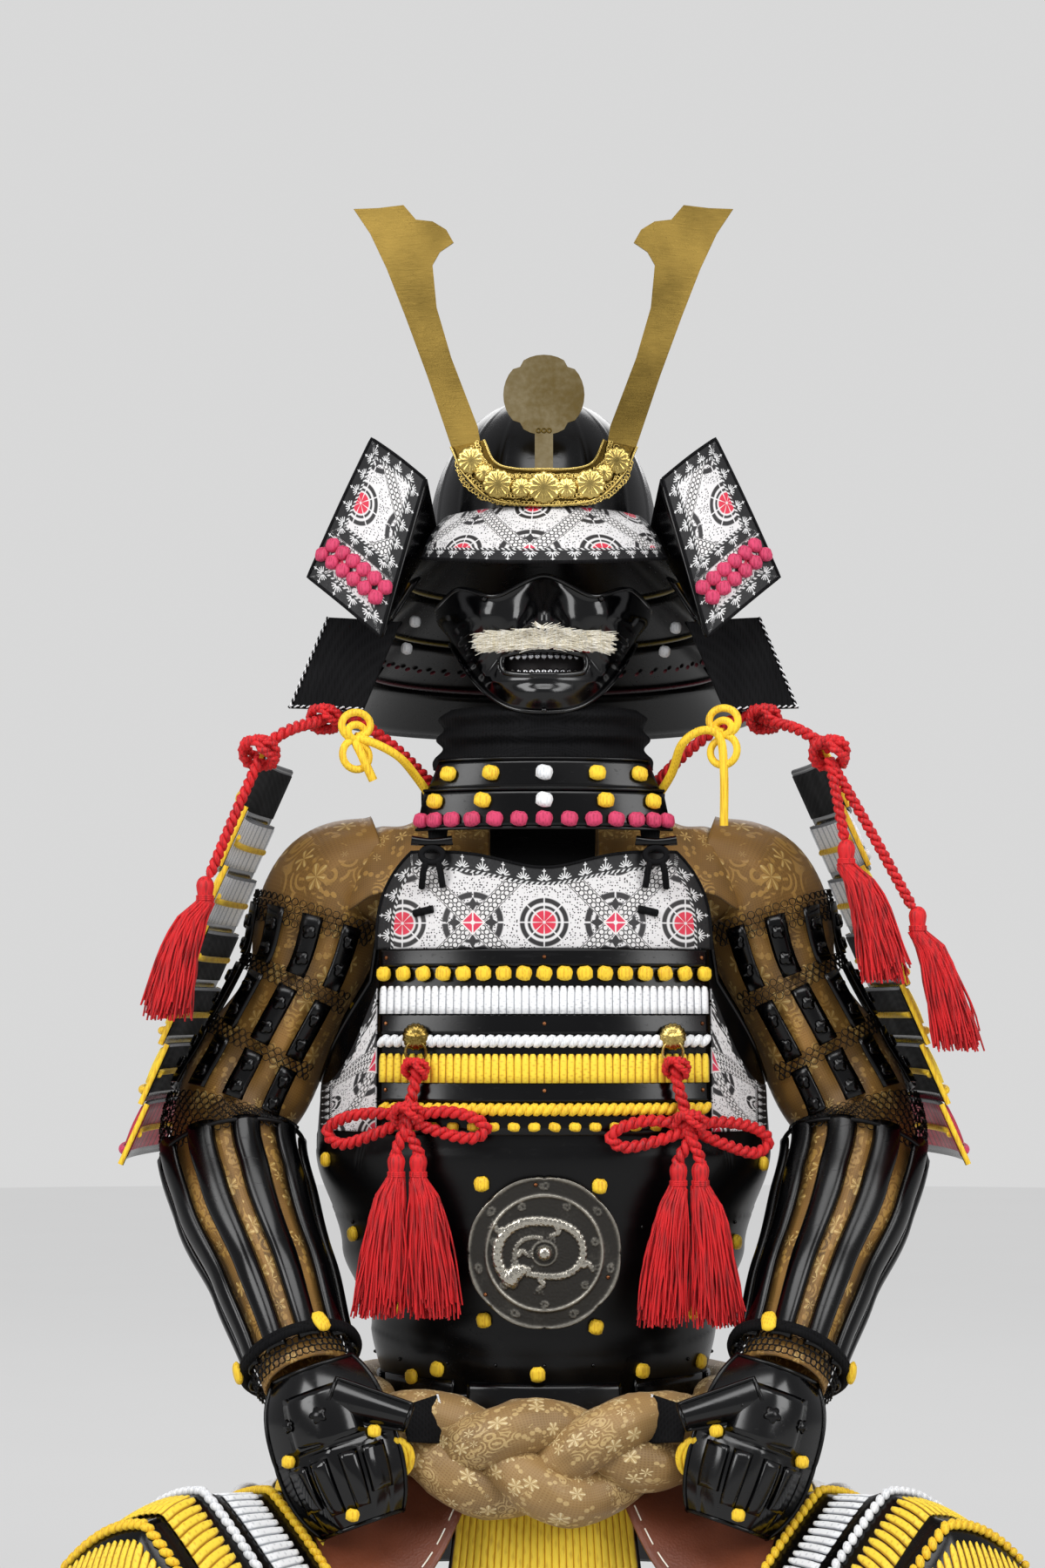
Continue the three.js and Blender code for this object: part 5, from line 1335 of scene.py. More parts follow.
class ARMOUR_OT_helmet(Piece):
    """Builds the bowl, the peak and the crest of the helmet"""
    bl_idname = "armour.helmet"
    bl_label = "Helmet"

    def make(self, settings):
        def dome(u, v):
            angle, t = 2 * math.pi * u, v * math.pi / 2
            reach = max(0.0, math.sin(t)) ** 0.92
            rib = 0.9 * max(0.0, math.cos(16 * angle)) ** 24 * smooth((v - 0.15) / 0.2)
            return ring_point(angle, BOWL_HALF_WIDTH * reach + rib, BOWL_HALF_DEPTH * reach + rib,
                              BOWL_RIM_HEIGHT + BOWL_RISE * math.cos(t))
        shell("helmet_dome", dome, (192, 28), "lacquer", "black_lacquer", ("helmet_bowl",), 3,
              (0, 0, 254), weld=True)
        rim = [ring_point(a, BOWL_HALF_WIDTH + 1, BOWL_HALF_DEPTH + 1, BOWL_RIM_HEIGHT + 1)
               for a in steps(96, 0, 2 * math.pi)]
        tube("helmet_rim", [rim], 1.8, 8, "lacquer", "black_lacquer")

        def peak(u, v):
            angle = lerp(-1, 1, u) * math.radians(57)
            out = v * (8 + 44 * math.cos(angle) ** 1.3) + 4 * math.sin(math.pi * v)
            low = 202 + 26 * math.sin(angle) ** 2
            return ring_point(angle, 110.4 + out, 129.4 + out, lerp(263, low, v ** 1.1))
        shell("peak", peak, (96, 24), "panel print", "printed_leather", ("visor",), 2.5, (0, 0, 180),
              (290, 78), rim_of(290, 78, "lrb"))
        hem = [peak(u, 1) for u in steps(60)]
        tube("peak_hem", [hem], 1.7, 8, "black cloth", "black_cloth")
        for name in ("crest_horn_left", "crest_horn_right"):
            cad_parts[name].data.materials.clear()
            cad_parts[name].data.materials.append(PAINT["brushed"])
        # The crest base takes the dark shaded gilt, a painted shadow for the shade in the openings between the
        # scrolls.
        for name, paint in (("crest_disc", "polished"), ("crest_base", "shaded gilt")):
            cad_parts[name].data.materials.clear()
            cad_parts[name].data.materials.append(PAINT[paint])

        def bent(x, out, z):
            return Vector((x, CREST_FRONT + 0.002 * x * x - out, z))
        bosses = [(0, 279, 14), (43, 283, 13), (-43, 283, 13), (68, 306, 12), (-68, 306, 12),
                  (21, 279, 9), (-21, 279, 9), (56, 294, 8), (-56, 294, 8)]

        def rosette(bm):
            bmesh.ops.create_uvsphere(bm, u_segments=48, v_segments=12, radius=0.5)
            for vert in bm.verts:
                x, y, z = vert.co
                angle, reach = math.atan2(y, x), math.hypot(x, y) * 2
                petal = 1 + 0.12 * abs(math.cos(6 * angle)) * (reach > 0.45)
                dent = (0.16 * bell(reach - 0.42, 0.08)
                        + 0.12 * (1 - abs(math.cos(6 * angle))) * (reach > 0.5))
                vert.co = (x * petal, y * petal, (z - dent * (z > 0)) * 0.7)
        flower = template(rosette)
        matrices = [pose(bent(x, 3, z), (0, -1, 0), (r * 2, r * 2, 9)) for x, z, r in bosses]
        stamped("crest_rosettes", flower, matrices, PAINT["gilt"], "gilt_metal")
        chance = random.Random(3)
        curls, beads = [], []
        arch = ((-72, 314), (-66, 296), (-48, 281), (-24, 277), (0, 277), (24, 277), (48, 281), (66, 296),
                (72, 314))
        arc = smooth_line([(x, 0, z) for x, z in arch], 60)
        for middle in arc:
            for row in (-13, -6.5, 6, 13):
                away = Vector((middle.x * 0.35, 0, -60 + abs(middle.x) * 0.5)).normalized()
                spot = middle + away * row
                size = chance.uniform(2.2, 3.2)
                start = chance.uniform(0, 6)
                curls.append([bent(spot.x + size * (1 - t * 0.6) * math.cos(start + 7 * t), 1.6,
                                   spot.z + size * (1 - t * 0.6) * math.sin(start + 7 * t))
                              for t in steps(9)])
        tube("crest_scrolls", curls, 0.75, 6, "gilt", "gilt_metal")
        for row in (((-87, 320), (-74, 293), (-47, 268), (0, 262), (47, 268), (74, 293), (87, 320)),
                    ((-56, 325), (-46, 304), (-28, 297), (0, 296), (28, 297), (46, 304), (56, 325))):
            beads.append([bent(point.x, 2.2, point.z)
                          for point in smooth_line([(x, 0, z) for x, z in row], 70)])
        tube("crest_edges", beads, 1.3, 8, "gilt", "gilt_metal")
        back = CREST_FRONT + 3 + 2.8 + 0.3 + 2
        rings = [[Vector((x + 1.9 * math.cos(a), back - 2.6, 334 + 1.9 * math.sin(a)))
                  for a in steps(14, 0, 2 * math.pi)]
                 for x in (-5, 0, 5)]
        tube("crest_rings", rings, 0.8, 6, "brushed", "brushed_gold")


class ARMOUR_OT_turnbacks(Piece):
    """Folds out the printed turn-backs beside the face, with their crimson knots"""
    bl_idname = "armour.turnbacks"
    bl_label = "Turn-backs"

    def make(self, settings):
        wide, tall = 88, 165

        def edge(u, v):
            plain = rim_of(wide, tall)(u, v)
            top, low = 0.6 * tall, 0.68 * tall
            if v * tall < top:
                band = (14 + top - v * tall, u * wide)
            elif v * tall < low:
                band = ((low - v * tall) * 14 / (low - top), u * wide)
            else:
                band = (99, 0)
            return min(plain, band)
        for word, side in SIDES:
            corners = [mirrored(p, side) for p in ((112, -98, 294), (164, -70, 338), (152, -128, 140),
                                                   (222, -96, 201))]
            panel = corner_panel(corners, 14)
            root = [mirrored(p, side) for p in ((102.8, -61.9, 250), (126.2, -73.9, 209))]
            name = "turnback_upper_" + word
            shell("turnback_print_" + word, panel, (40, 72), "panel print", "printed_leather", (name,),
                  2.5, (0, 60, 240), (wide, tall), edge)
            shell("turnback_root_" + word, lambda u, v: root[0].lerp(root[1], v).lerp(panel(0, v), u),
                  (8, 16), "lacquer", "black_lacquer", (), 2.4, (0, -60, 240))
            hem = [panel(*p) for p in [(u, 0) for u in steps(20)] + [(1, v) for v in steps(30)]
                   + [(1 - u, 1) for u in steps(20)] + [(0, 1 - v) for v in steps(30)]]
            tube("turnback_hem_" + word, [hem], 1.6, 6, "black cloth", "black_cloth")
            spots = []
            for v, shift, count in ((0.735, 0, 6), (0.825, 0.5, 6)):
                for k in range(count):
                    u = 0.07 + (k + 0.2 + shift) / 6.6
                    spots.append((panel(u, v), surface_normal(panel, u, v, (0, 60, 240))))
            knots("turnback_knots_" + word, spots, "crimson", "printed_leather", (15, 15, 10))
            lower = [mirrored(p, side) for p in ((135, -84, 160), (206, -72, 166), (170, -100, 74),
                                                 (242, -66, 80))]
            flap = corner_panel(lower, 4)
            shell("turnback_lower_" + word, flap, (24, 24), "black cloth", "black_cloth", (), 2.5,
                  (0, 60, 120))
            line = [flap(*p, 1) for p in [(0.98, v) for v in steps(30)]
                    + [(1 - u, 0.98) for u in steps(24)]]
            for paint, ply in zip(("black cloth", "white"), twisted(smooth_line(line, 120), 0.8, 7)):
                thread = "white_lacing" if paint == "white" else "black_cloth"
                tube("turnback_stitch_%s_%s" % (word, paint[:5]), [ply], 0.8, 5, paint, thread)


class ARMOUR_OT_neck_guard(Piece):
    """Laces the four lames of the neck guard"""
    bl_idname = "armour.neck_guard"
    bl_label = "Neck guard"

    def make(self, settings):
        for lame in range(4):
            at = neck_at(lame)
            shell("neck_lame_%d" % (lame + 1), at, (72, 6), "lacquer", "black_lacquer",
                  ("neck_guard",) if lame == 0 else (), 2.4, (0, 0, 150))
            paint, slot = ("crimson lace", "red_silk") if lame == 3 else ("yellow lace", "yellow_lacing")
            laced("neck_lacing_%d" % (lame + 1), at, 0.02, 0.98, 0.12, 0.66, 72 + 8 * lame, paint, slot,
                  1.2)
            corded_row("neck_twist_%d" % (lame + 1), at, 0.02, 0.98, 0.74, 80 + 8 * lame,
                       "white" if lame % 2 else "yellow", "white_lacing" if lame % 2 else "yellow_lacing")

            def inner(u, v, out=0.0):
                return at(u, v, -4.4 - out)
            if lame == 2:
                corded_row("neck_inner", inner, 0.02, 0.98, 0.6, 34, "crimson lace", "red_silk",
                           (7, 3.4, 4))
        rim = [neck_at(3)(u, 1, 1) for u in steps(80)]
        tube("neck_rim", [rim], 2.2, 8, "lacquer", "black_lacquer")
        spots = []
        for x, z in ((-132, 140), (117, 137), (-124, 166), (128, 160)):
            side = -1 if x < 0 else 1
            spots.append((Vector((x, -52 + abs(x) * 0.1, z)), (-0.5 * side, -0.85, 0)))
        knots("neck_knots", spots, "white", "white_lacing", (12, 12, 9))


class ARMOUR_OT_mask(Piece):
    """Shapes the half mask with its mouth, teeth and moustache"""
    bl_idname = "armour.mask"
    bl_label = "Mask"

    def make(self, settings):
        bm = sheet_mesh(lambda u, v: mask_point(u, v), 150, 110, (200, 120), (0, 0, 130), None)
        gone = [face for face in bm.faces
                if self.in_mouth(face.calc_center_median(), -1.0)]
        bmesh.ops.delete(bm, geom=gone, context="FACES")
        finish(object_from(bm, "face_mask"), PAINT["mask"], "black_lacquer", ("mask",), carve=[wall(3)])
        ring = []
        for a in steps(72, 0, 2 * math.pi):
            x = 31 * max(-1, min(1, 1.35 * math.cos(a))) + 11.5 * math.cos(a)
            ring.append(mask_at(x, 116 + 12 * math.sin(a), -0.4))
        tube("mask_lips", [ring], 3.2, 8, "mask", "black_lacquer")
        line = [mask_at(x, 130.5 - 0.0012 * x * x, 1.6) for x in steps(40, -44, 44)]
        tube("mask_red_lip", [line], 1.5, 8, "lip", "black_lacquer")
        teeth = []
        for z, height in ((124, 9), (108, 8)):
            for k in range(11):
                x = lerp(-34, 34, k / 10)
                point = mask_at(x, z, -6)
                teeth.append(pose(point, (x * 0.01, -1, 0), (6.3, height, 5)))
        stamped("mask_teeth",
                template(lambda b: bmesh.ops.create_uvsphere(b, u_segments=10, v_segments=8, radius=0.5)),
                teeth, PAINT["steel"], "dark_silver")
        shell("mask_mouth", lambda u, v: Vector((lerp(-48, 48, u), -104 + 10 * abs(2 * u - 1),
                                                 lerp(98, 134, v))),
              (12, 6), "mouth", "black_lacquer", (), 1.5, (0, 0, 116))
        rims = [[mask_point(u, 0.004, 1) for u in steps(90)],
                [mask_point(u, 0.996, 0.6) for u in steps(90)]]
        tube("mask_rims", rims, 2.3, 8, "mask", "black_lacquer")
        studs = [pose(mask_at(x, z, 1), (x * 0.01, -1, 0.2), (7, 7, 8))
                 for x, z in ((-55, 178), (53, 178), (0, 72))]
        stamped("mask_studs", RIVET, studs, PAINT["mask"], "black_lacquer")
        chance = random.Random(11)
        hairs = []
        for _ in range(settings.hairs):
            x = chance.uniform(-56, 56)
            z = chance.uniform(128, 146)
            root = mask_at(x, z, 3.0 + 5 * math.sqrt(max(0.0, 1 - ((z - 137) / 10) ** 2)))
            way = Vector((math.copysign(1.0, x + chance.uniform(-9, 9)) + chance.uniform(-0.2, 0.2),
                          -0.12 - chance.uniform(0, 0.3),
                          chance.uniform(-0.28, 0.34) + 0.5 * bell(x, 8))).normalized()
            long = chance.uniform(7, 13)
            hairs.append([(root + way * long * t + Vector((0, 0, -1.2 * t * t)), 1 - 0.75 * t)
                          for t in steps(3)])
        finish(swept("moustache_hair", hairs, 0.7, 4, False), PAINT["fur"], "cream_fur", ("moustache",))
        shell("moustache_root", lambda u, v: mask_at(lerp(-61, 61, u),
                                                     lerp(144, 128, v) + 1.2 * math.sin(u * 70),
                                                    2 + 6 * math.sin(math.pi * v)), (60, 8), "fur",
              "cream_fur", (), 3, (0, 0, 130))

    @staticmethod
    def in_mouth(place, grow):
        x, z = place.x, place.z
        return math.hypot(max(0.0, abs(x) - 31), z - 116) < 11.5 + grow


class ARMOUR_OT_throat(Piece):
    """Wraps the neck and hangs the throat guard"""
    bl_idname = "armour.throat"
    bl_label = "Throat"

    def make(self, settings):
        profile = smooth_line([(6, 0, 82), (17, 0, 74), (12, 0, 64), (19, 0, 54), (13, 0, 45),
                               (21, 0, 35), (22, 0, 25)], 40)

        def roll(u, v):
            angle = 2 * math.pi * u
            row = along_line(profile, v)
            out = row.x + 1.6 * noise.noise(Vector((5 * math.cos(angle), 5 * math.sin(angle), 7 * v)))
            point = ring_point(angle, 84 + out, 88 + out, row.z - 4 * math.cos(angle))
            return point + Vector((0, -15.8, 0))
        neck = shell("neck_wrap", roll, (120, 40), "black cloth", "black_cloth", ("neck_roll",), 9,
                     (0, -16, 50), weld=True)

        def plate(high, low, width, depth, flare):
            def at(u, v, out=0.0):
                angle = lerp(-1, 1, u) * math.radians(68)
                point = ring_point(angle, width + flare * v + out, depth + flare * v * 0.5 + out,
                                   lerp(high, low, v))
                return point + Vector((0, -80, 0))
            return at
        rows = {"upper": (plate(27, -1, 105.4, 48.4, 12), [(0.5, 5, 0.12, "mix")]),
                "lower": (plate(-1.4, -38, 120.4, 54.4, 8),
                          [(0.3, 5, 0.1, "mix"), (0.78, 13, 0.04, "crimson")])}
        for name, (at, lists) in rows.items():
            shell("throat_plate_" + name, at, (64, 6), "lacquer", "black_lacquer",
                  ("throat_lame_" + name,), 2.4, (0, -60, 0))
            hem = [[at(u, v, 0.4) for u in steps(60)] for v in (0.0, 1.0)]
            tube("throat_rims_" + name, hem, 1.6, 8, "lacquer", "black_lacquer")
            for v, count, margin, kind in lists:
                for paint, slot in (("yellow", "yellow_lacing"), ("white", "white_lacing"),
                                    ("crimson", "red_silk")):
                    spots = []
                    for k, u in enumerate(steps(count - 1, margin, 1 - margin)):
                        wanted = ("white" if k == 2 else "yellow") if kind == "mix" else kind
                        if wanted == paint:
                            spots.append((at(u, v, 1), surface_normal(at, u, v, (0, -40, 0))))
                    if spots:
                        knots("throat_%s_%s_%s" % (name, kind, paint), spots, paint, slot, (17, 15, 11))


def cuirass_top(angle):
    degrees = abs(math.degrees(angle))
    if degrees < 50:
        return -80
    if degrees < 54:
        return lerp(-80, -178, (degrees - 50) / 4)
    return lerp(-178, -272, math.sin((degrees - 54) / 36 * math.pi / 2))


BELLY_KNOTS = (
    (-204, -346), (206, -350), (-57, -364), (50, -366), (-178, -415), (180, -423),
    (-55, -489), (47, -495), (-138, -481), (138, -486), (-98, -536), (-6, -538),
    (90, -537), (188, -464), (-122, -545), (146, -534),
)


class ARMOUR_OT_cuirass(Piece):
    """Smooths the lacquered cuirass, its seams, knots, straps and toggles"""
    bl_idname = "armour.cuirass"
    bl_label = "Cuirass"

    def make(self, settings):
        def seam(z, x):
            """The lames of the belly step out a little at each seam"""
            rise = 0.0
            for height, bow in ((-335.6, 0), (-398, 0), (-528, 0.0009)):
                drop = height + bow * x * x - z
                rise += 0.9 * smooth(drop / 2.5) - 0.9 * smooth(drop / 55)
            return rise

        def front(u, v):
            angle = lerp(-1, 1, u) * math.pi / 2
            z = lerp(cuirass_top(angle), HEM, v)
            return trunk_point(angle, z, seam(z, trunk_point(angle, z).x))
        shell("cuirass_belly", front, (144, 110), "belly", "black_lacquer", ("cuirass_front",), 3.4,
              (0, 0, -300))

        def back(u, v):
            angle = lerp(math.pi / 2, 3 * math.pi / 2, u)
            away = abs(math.degrees(angle - math.pi))
            slope = math.sin((away - 48) / 42 * math.pi / 2)
            top = -8 - 10 * (away / 48) ** 2 if away < 48 else lerp(-18, -272, slope)
            z = lerp(top, HEM, v)
            ridge = sum(0.9 * smooth((k - z) / 2.5) - 0.9 * smooth((k - z) / 50)
                        for k in (-110, -180, -250, -320, -390, -460))
            return trunk_point(angle, z, ridge)
        shell("cuirass_rear", back, (120, 100), "belly", "black_lacquer", ("cuirass_back",), 2.4,
              (0, 0, -300))
        hems = [[front(u, v) for u in steps(120)] for v in (0.001, 0.999)]
        hems += [[back(u, v) for u in steps(120)] for v in (0.001, 0.999)]
        tube("cuirass_rims", hems, 2.6, 8, "lacquer", "black_lacquer")
        spots = []
        for x, z in BELLY_KNOTS:
            point = trunk_at_x(x, z, 1)
            spots.append((point, (point.x / 1.6, point.y, 0)))
        for angle in range(120, 250, 18):
            for z in (-200, -300, -400, -500):
                point = trunk_point(math.radians(angle), z, 1)
                spots.append((point, (point.x, point.y, 0)))
        knots("belly_knots", spots, "yellow", "yellow_lacing", (15, 15, 9))
        rivets = [pose(trunk_at_x(x, z, 1.6), (x * 0.005, -1, 0), (4, 4, 4))
                  for z in (-404, -530) for x in range(-180, 181, 45)]
        stamped("belly_rivets", RIVET, rivets, PAINT["lacquer"], "black_lacquer")
        route = [(98, 114, -9.1), (98, 84, -6.7), (98, 34, 3), (98, -20, 3), (100, -70, -8),
                 (99, -98.4, -30), (99, -108, -52)]
        line = smooth_line(route, 60)
        for word, side in SIDES:
            def strap(u, v):
                point, t = along_line(line, v), v
                along = (along_line(line, v + 0.02) - along_line(line, v - 0.02)).normalized()
                up = (Vector((0, 0, 1)) - along * along.z).normalized()
                if t > 0.6:
                    up = up.lerp(Vector((0, -1, 0)), (t - 0.6) * 1.5).normalized()
                half = 23 * (1 - 0.66 * t * t)
                crown = 3 + 1.2 * (1 - (2 * u - 1) ** 2)
                return mirrored(point + Vector((half * (2 * u - 1), 0, 0)) + up * crown, side)
            shell("strap_" + word, strap, (10, 60), "black cloth", "black_cloth",
                  ("shoulder_strap_" + word,), 6, (98 * side, 20, -300))
            x = 104 * side
            bar = [(Vector((x + s * 19, -110.3 - 6, -50 + 1.5 * s * s)), 0.75 + 0.3 * abs(s))
                   for s in steps(12, -1, 1)]
            ring = [Vector((x + 10 * math.cos(a), -116, -62 + 7 * math.sin(a)))
                    for a in steps(24, 0, 2 * math.pi)]
            tube("toggle_" + word, [bar], 4.6, 10, "lacquer", "black_lacquer")
            lines = [ring] + [[Vector((x + s * 5, -115, -66)), Vector((x + s * 8, -118, -78)),
                               trunk_at_x(x + s * 10, -92, 6.5)] for s in (-1, 1)]
            tube("toggle_straps_" + word, lines, 3.1, 8, "black cloth", "black_cloth")
            slot = [trunk_at_x((104 - 8 * side) * side + s * 9, -114 - 2 * s * side, 5.4)
                    for s in steps(6, -1, 1)]
            tube("chest_slot_" + word, [slot], 3.6, 8, "black cloth", "black_cloth")


class ARMOUR_OT_chest(Piece):
    """Covers the chest with printed leather and laces the lames below it"""
    bl_idname = "armour.chest"
    bl_label = "Chest"

    def make(self, settings):
        low = -149

        def half_width(v):
            return 157 - 33 * (1 - v) ** 3

        def neckline(u):
            return -58 - 16 * bell(2 * u - 1, 0.42)

        def chest(u, v, out=0.0):
            return trunk_at_x((2 * u - 1) * half_width(v), lerp(neckline(u), low, v), 3.8 + out)

        def edge(u, v):
            point = chest(u, v)
            side = half_width(v) - abs(point.x)
            top = neckline(u) - point.z
            along = point.x if top < side else math.copysign(150 - point.z - 58, point.x)
            return min(top, side), along
        bm = sheet_mesh(chest, 140, 44, (1, 1), (0, 0, -100), False, edge)
        layer = bm.loops.layers.uv.active
        for face in bm.faces:
            for loop in face.loops:
                loop[layer].uv = (loop.vert.co.x * MM, (loop.vert.co.z - low) * MM)
        finish(object_from(bm, "chest_print"), PAINT["chest print"], "printed_leather", ("chest_plate",),
               carve=[wall(2.4)])
        hem = [chest(*p) for p in [(0, 1 - v) for v in steps(20)] + [(u, 0) for u in steps(60)]
               + [(1, v) for v in steps(20)]]
        tube("chest_hem", [hem], 1.5, 6, "black cloth", "black_cloth")

        def plate(name, high, low, replaces):
            shell(name, lambda u, v: front_at(u, lerp(high, low, v), 8.5 + 1.5 * v), (72, 6), "lacquer",
                  "black_lacquer", replaces, 6, (0, 0, -220))
        plate("lame_plate_1", -149, -165, ("front_lame_upper",))
        plate("lame_plate_2", -208, -228, ("front_lame_middle",))
        plate("lame_plate_3", -270, -290, ("front_lame_lower",))
        shell("lame_ground", lambda u, v: front_at(u, lerp(-160, -320, v), 5), (72, 20), "lacquer",
              "black_lacquer", (), 3, (0, 0, -220))

        def at(u, v, out=0.0):
            return front_at(u, v, 8 + out)
        spots = []
        for u in steps(16, 0.02, 0.98):
            point = front_at(u, -172, 8)
            spots.append((point, (point.x / 1.8, point.y, 0)))
        knots("lame_knots", spots, "yellow", "yellow_lacing", (15.5, 14.5, 11))
        spots = []
        for u in steps(15, 0.05, 0.95):
            point = front_at(u, -312, 6)
            spots.append((point, (point.x / 1.8, point.y, 0)))
        knots("lame_dots", spots, "yellow", "yellow_lacing", (12, 9, 9))
        for name, v0, v1, paint, slot in (("upper", -184, -209, "white lace", "white_lacing"),
                                          ("middle", -246, -272, "yellow lace", "yellow_lacing")):
            laced("lame_lacing_" + name, at, 0.005, 0.995, v0, v1, 44, paint, slot)

        for name, z, paint, slot in (("middle", -234, "white", "white_lacing"),
                                     ("lower", -296, "yellow", "yellow_lacing")):
            corded_row("lame_twist_" + name, lambda u, v, out=0.0: at(u, z - v, out + 2), 0.004, 0.996,
                       0.0, 38, paint, slot, (16.5, 8.6, 9.5), 0.72)
        rivets = []
        for z in (-157, -218, -279):
            for x in (-147, 0, 147):
                rivets.append(pose(trunk_at_x(x, z, 10), (x * 0.004, -1, 0), (4.5, 4.5, 4)))
        stamped("lame_rivets", RIVET, rivets, PAINT["copper"], "gilt_metal")
        for word, side in SIDES:
            def panel(u, v):
                x = lerp(156, 212, u)
                z = lerp(lerp(-184, -276, math.sin(u * math.pi / 2)), -318, v)
                point = trunk_at_x(min(x, trunk_at(z)[0] * 0.992), z, 4.8)
                return mirrored(point, side)
            shell("side_print_" + word, panel, (28, 48), "panel print", "printed_leather",
                  ("side_panel_" + word,), 2.4, (0, 0, -250), (72, 130), rim_of(72, 130, "tr"))


class ARMOUR_OT_metal(Piece):
    """Chases the medallion and the ribbed bosses"""
    bl_idname = "armour.metal"
    bl_label = "Medallion and bosses"

    def make(self, settings):
        body = [(Vector((math.cos(a), 0, math.sin(a))) * (lerp(40, 19, t) + 5 * math.sin(17 * t)),
                 lerp(4.6, 1.8, t))
                for t, a in ((t, 3.9 - 8.4 * t) for t in steps(60))]
        head = body[0][0]
        body += [(head + Vector((x, 0, z)), r) for x, z, r in (
            (-2, 4, 7), (3, 9, 6.4), (9, 12, 4.4), (14, 12, 2.8), (-4, 11, 2.2), (-8, 14, 1.6),
            (0, 16, 2), (-1, 20, 1.4), (13, 7, 1.6), (18, 15, 1.1), (-7, 7, 2), (-11, 9, 1.4))]
        for share, way in ((0.16, 1), (0.34, -1), (0.5, 1), (0.68, 1), (0.84, -1)):
            foot = body[int(share * 60)][0]
            out = foot.normalized() * way
            cross = Vector((-out.z, 0, out.x))
            body += [(foot + out * (4 + 2.2 * k) + cross * math.sin(k) * 2.6, 2.9 - 0.3 * k)
                     for k in range(5)]
            body += [(foot + out * (13 + 1.8 * k) + cross * (claw * (1 + 1.5 * k)), 1.3 - 0.2 * k)
                     for claw in (-1, 0, 1) for k in range(3)]
        clouds = []
        for k in range(14):
            middle, r0 = 2 * math.pi * (k + 0.5) / 14, 61.5 if k % 2 else 47
            for t in steps(10):
                a = middle + 0.05 * (t - 0.5) + 0.05 * math.cos(8 * t)
                r = r0 + 3.2 * math.sin(8 * t) * (1 - 0.5 * t)
                clouds.append((Vector((r * math.cos(a), 0, r * math.sin(a))), 1.3))
        marks = body + clouds

        def height(angle, reach):
            point = Vector((reach * math.cos(angle), 0, reach * math.sin(angle)))
            rise = 1.8 * bell(reach - 53, 1.6) + 1.5 * bell(reach - 69.5, 2.2)
            rise += 7 * math.sqrt(max(0.0, 1 - (reach / 7.5) ** 2)) if reach < 7.5 else 1.2 * bell(reach - 11, 1.2)
            near = 0.0
            for spot, radius in marks:
                gap = (point - spot).length
                if gap < radius * 1.6:
                    near = max(near, radius * 0.75
                               * math.sqrt(max(0.0, 1 - (gap / (radius * 1.25)) ** 2)))
            scales = 0.35 * math.sin(reach * 2.1) * math.sin(angle * 40) * (near > 0.8)
            return rise + near + scales + 0.3 * noise.noise(point * 0.5)

        def reach_at(u, v):
            cusp = abs(math.sin(2 * math.pi * u * 4)) ** 0.6
            return v * MEDALLION_RADIUS * (0.955 + 0.045 * cusp)
        tilt = math.atan2(trunk_at(-360)[1] - trunk_at(-500)[1], 140)
        turn = Matrix.Rotation(tilt, 3, "X")
        seat = Vector((0, -trunk_at(-426)[1] - 2, -426))

        def disc(u, v):
            angle, reach = 2 * math.pi * u, reach_at(u, v)
            lift = 3.6 + height(angle, reach)
            return seat + turn @ Vector((reach * math.cos(angle), -lift, reach * math.sin(angle)))

        def raised(u, v):
            return height(2 * math.pi * u, reach_at(u, v)) / 3.4, 0
        shell("medallion_relief", disc, (300, 84), "silver", "dark_silver", ("medallion",), 3.4,
              tuple(seat + Vector((0, 60, 0))), edge=raised, weld=True)
        rivets = [pose(seat + turn @ Vector((x, -4.4, z)), (0, -1, 0), (4.5, 4.5, 4))
                  for x, z in ((-8, 63), (-54, -38), (58, -22))]
        stamped("medallion_rivets", RIVET, rivets, PAINT["copper"], "gilt_metal")
        for word, side in SIDES:
            point = trunk_at_x(118 * side, -230, 13)
            point.y -= 3.2

            def dome(u, v):
                a, r = 2 * math.pi * u, 12 * v
                rib = 1 + 0.07 * abs(math.sin(8 * a)) * v
                return point + Vector((r * rib * math.cos(a),
                                       -1 - 8 * math.sqrt(max(0.0, 1 - v * v)) - 1.5 * bell(v, 0.2),
                                       r * rib * math.sin(a)))
            shell("boss_dome_" + word, dome, (96, 14), "gilt", "gilt_metal", ("boss_" + word,), 1.5,
                  tuple(point + Vector((0, 30, 0))), weld=True)
            ring = [point + Vector((9.5 * math.sin(a), -4 - 2 * math.cos(a), -14 + 9.5 * math.cos(a)))
                    for a in steps(36, 0, 2 * math.pi)]
            tube("boss_ring_" + word, [ring], 1.5, 8, "gilt", "gilt_metal")


